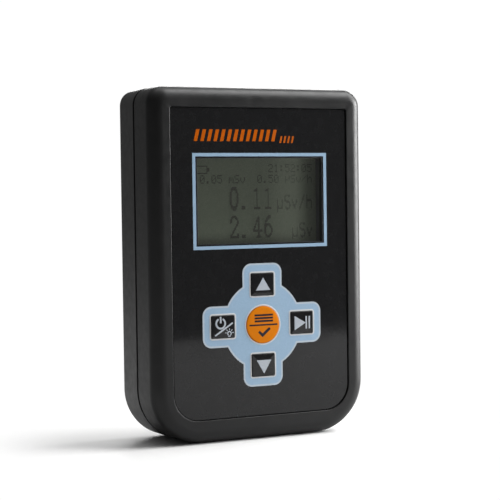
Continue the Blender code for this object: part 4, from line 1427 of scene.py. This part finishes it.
def floor_material():
    """White paper near the case, which blends into the backdrop's white further off."""
    look = material("floor_white", (0.86, 0.86, 0.855), 0.6)
    vary_colour(look, noise(look, 9.0, 2.0), (0.855, 0.855, 0.85), (0.865, 0.865, 0.86))
    tree = look.node_tree
    reach = tree.nodes.new("ShaderNodeVectorMath")
    reach.operation = "LENGTH"
    feed(tree, reach.inputs[0], coordinates(look))
    fade = mapped(tree, reach.outputs["Value"], (FADE_FROM, FADE_TO), (0.0, 1.0))
    white = node(tree, "Emission", Strength=WHITE).outputs["Emission"]
    seen = blended(tree, fade, tree.nodes["Principled BSDF"].outputs["BSDF"], white)
    dim = node(tree, "BsdfDiffuse", Color=(FLOOR_BOUNCE, FLOOR_BOUNCE, FLOOR_BOUNCE, 1.0))
    mix = blended(tree, camera_ray(tree), dim.outputs["BSDF"], seen)
    tree.links.new(mix, tree.nodes["Material Output"].inputs["Surface"])
    return look


def camera_ray(tree):
    """One where the camera looks straight at something, and zero where light bounces."""
    return tree.nodes.new("ShaderNodeLightPath").outputs["Is Camera Ray"]


def area_light(name, place, size, power):
    """A soft lamp that points at the middle of the case."""
    data = bpy.data.lights.new(name, "AREA")
    data.shape = "RECTANGLE"
    data.size, data.size_y = size
    data.energy = power
    made = placed(name, data)
    made.location = Vector(place)
    made.rotation_euler = (Vector(LIT_PLACE) - Vector(place)).to_track_quat("-Z", "Y").to_euler()


def studio_world():
    """White backdrop; as light it is bright behind the case and dim elsewhere, as in a small studio."""
    world = bpy.data.worlds.new("studio")
    bpy.context.scene.world = world
    world.use_nodes = True
    tree = world.node_tree
    seen = tree.nodes["Background"]
    seen.inputs["Color"].default_value = (1.0, 1.0, 1.0, 1.0)
    seen.inputs["Strength"].default_value = WHITE
    lit = tree.nodes.new("ShaderNodeBackground")
    parts = parted(tree, tree.nodes.new("ShaderNodeTexCoord").outputs["Generated"])
    backdrop = mapped(tree, parts["Y"], (0.74, 0.97), (ROOM_LIGHT, BACKDROP_LIGHT))
    ceiling = mapped(tree, parts["Z"], (0.5, 0.9), (0.0, CEILING_LIGHT))
    tree.links.new(maths(tree, "ADD", backdrop, ceiling), lit.inputs["Strength"])
    mix = blended(tree, camera_ray(tree), lit.outputs["Background"], seen.outputs["Background"])
    tree.links.new(mix, tree.nodes["World Output"].inputs["Surface"])


def studio():
    camera()
    floor()
    studio_world()
    bpy.context.scene.view_settings.view_transform = "Standard"
    area_light("key_right", (0.54, -0.17, 0.47), (0.5, 0.9), 9.2)
    area_light("top", (0.1, 0.1, 0.9), (0.7, 0.7), 2.2)
    area_light("back_right", (0.4, 0.58, 0.36), (0.45, 0.3), 2.6)
    area_light("low_right", (0.5, -0.13, 0.13), (0.36, 0.26), 2.7)


front_case()
rear_case()
gasket()
battery_cover()
case_screws()
film()
frame_print()
pad_print()
bars_print()
keys()
arrow_symbols()
play_symbol()
power_symbol()
menu_symbols()
display()
carry_over()
studio()
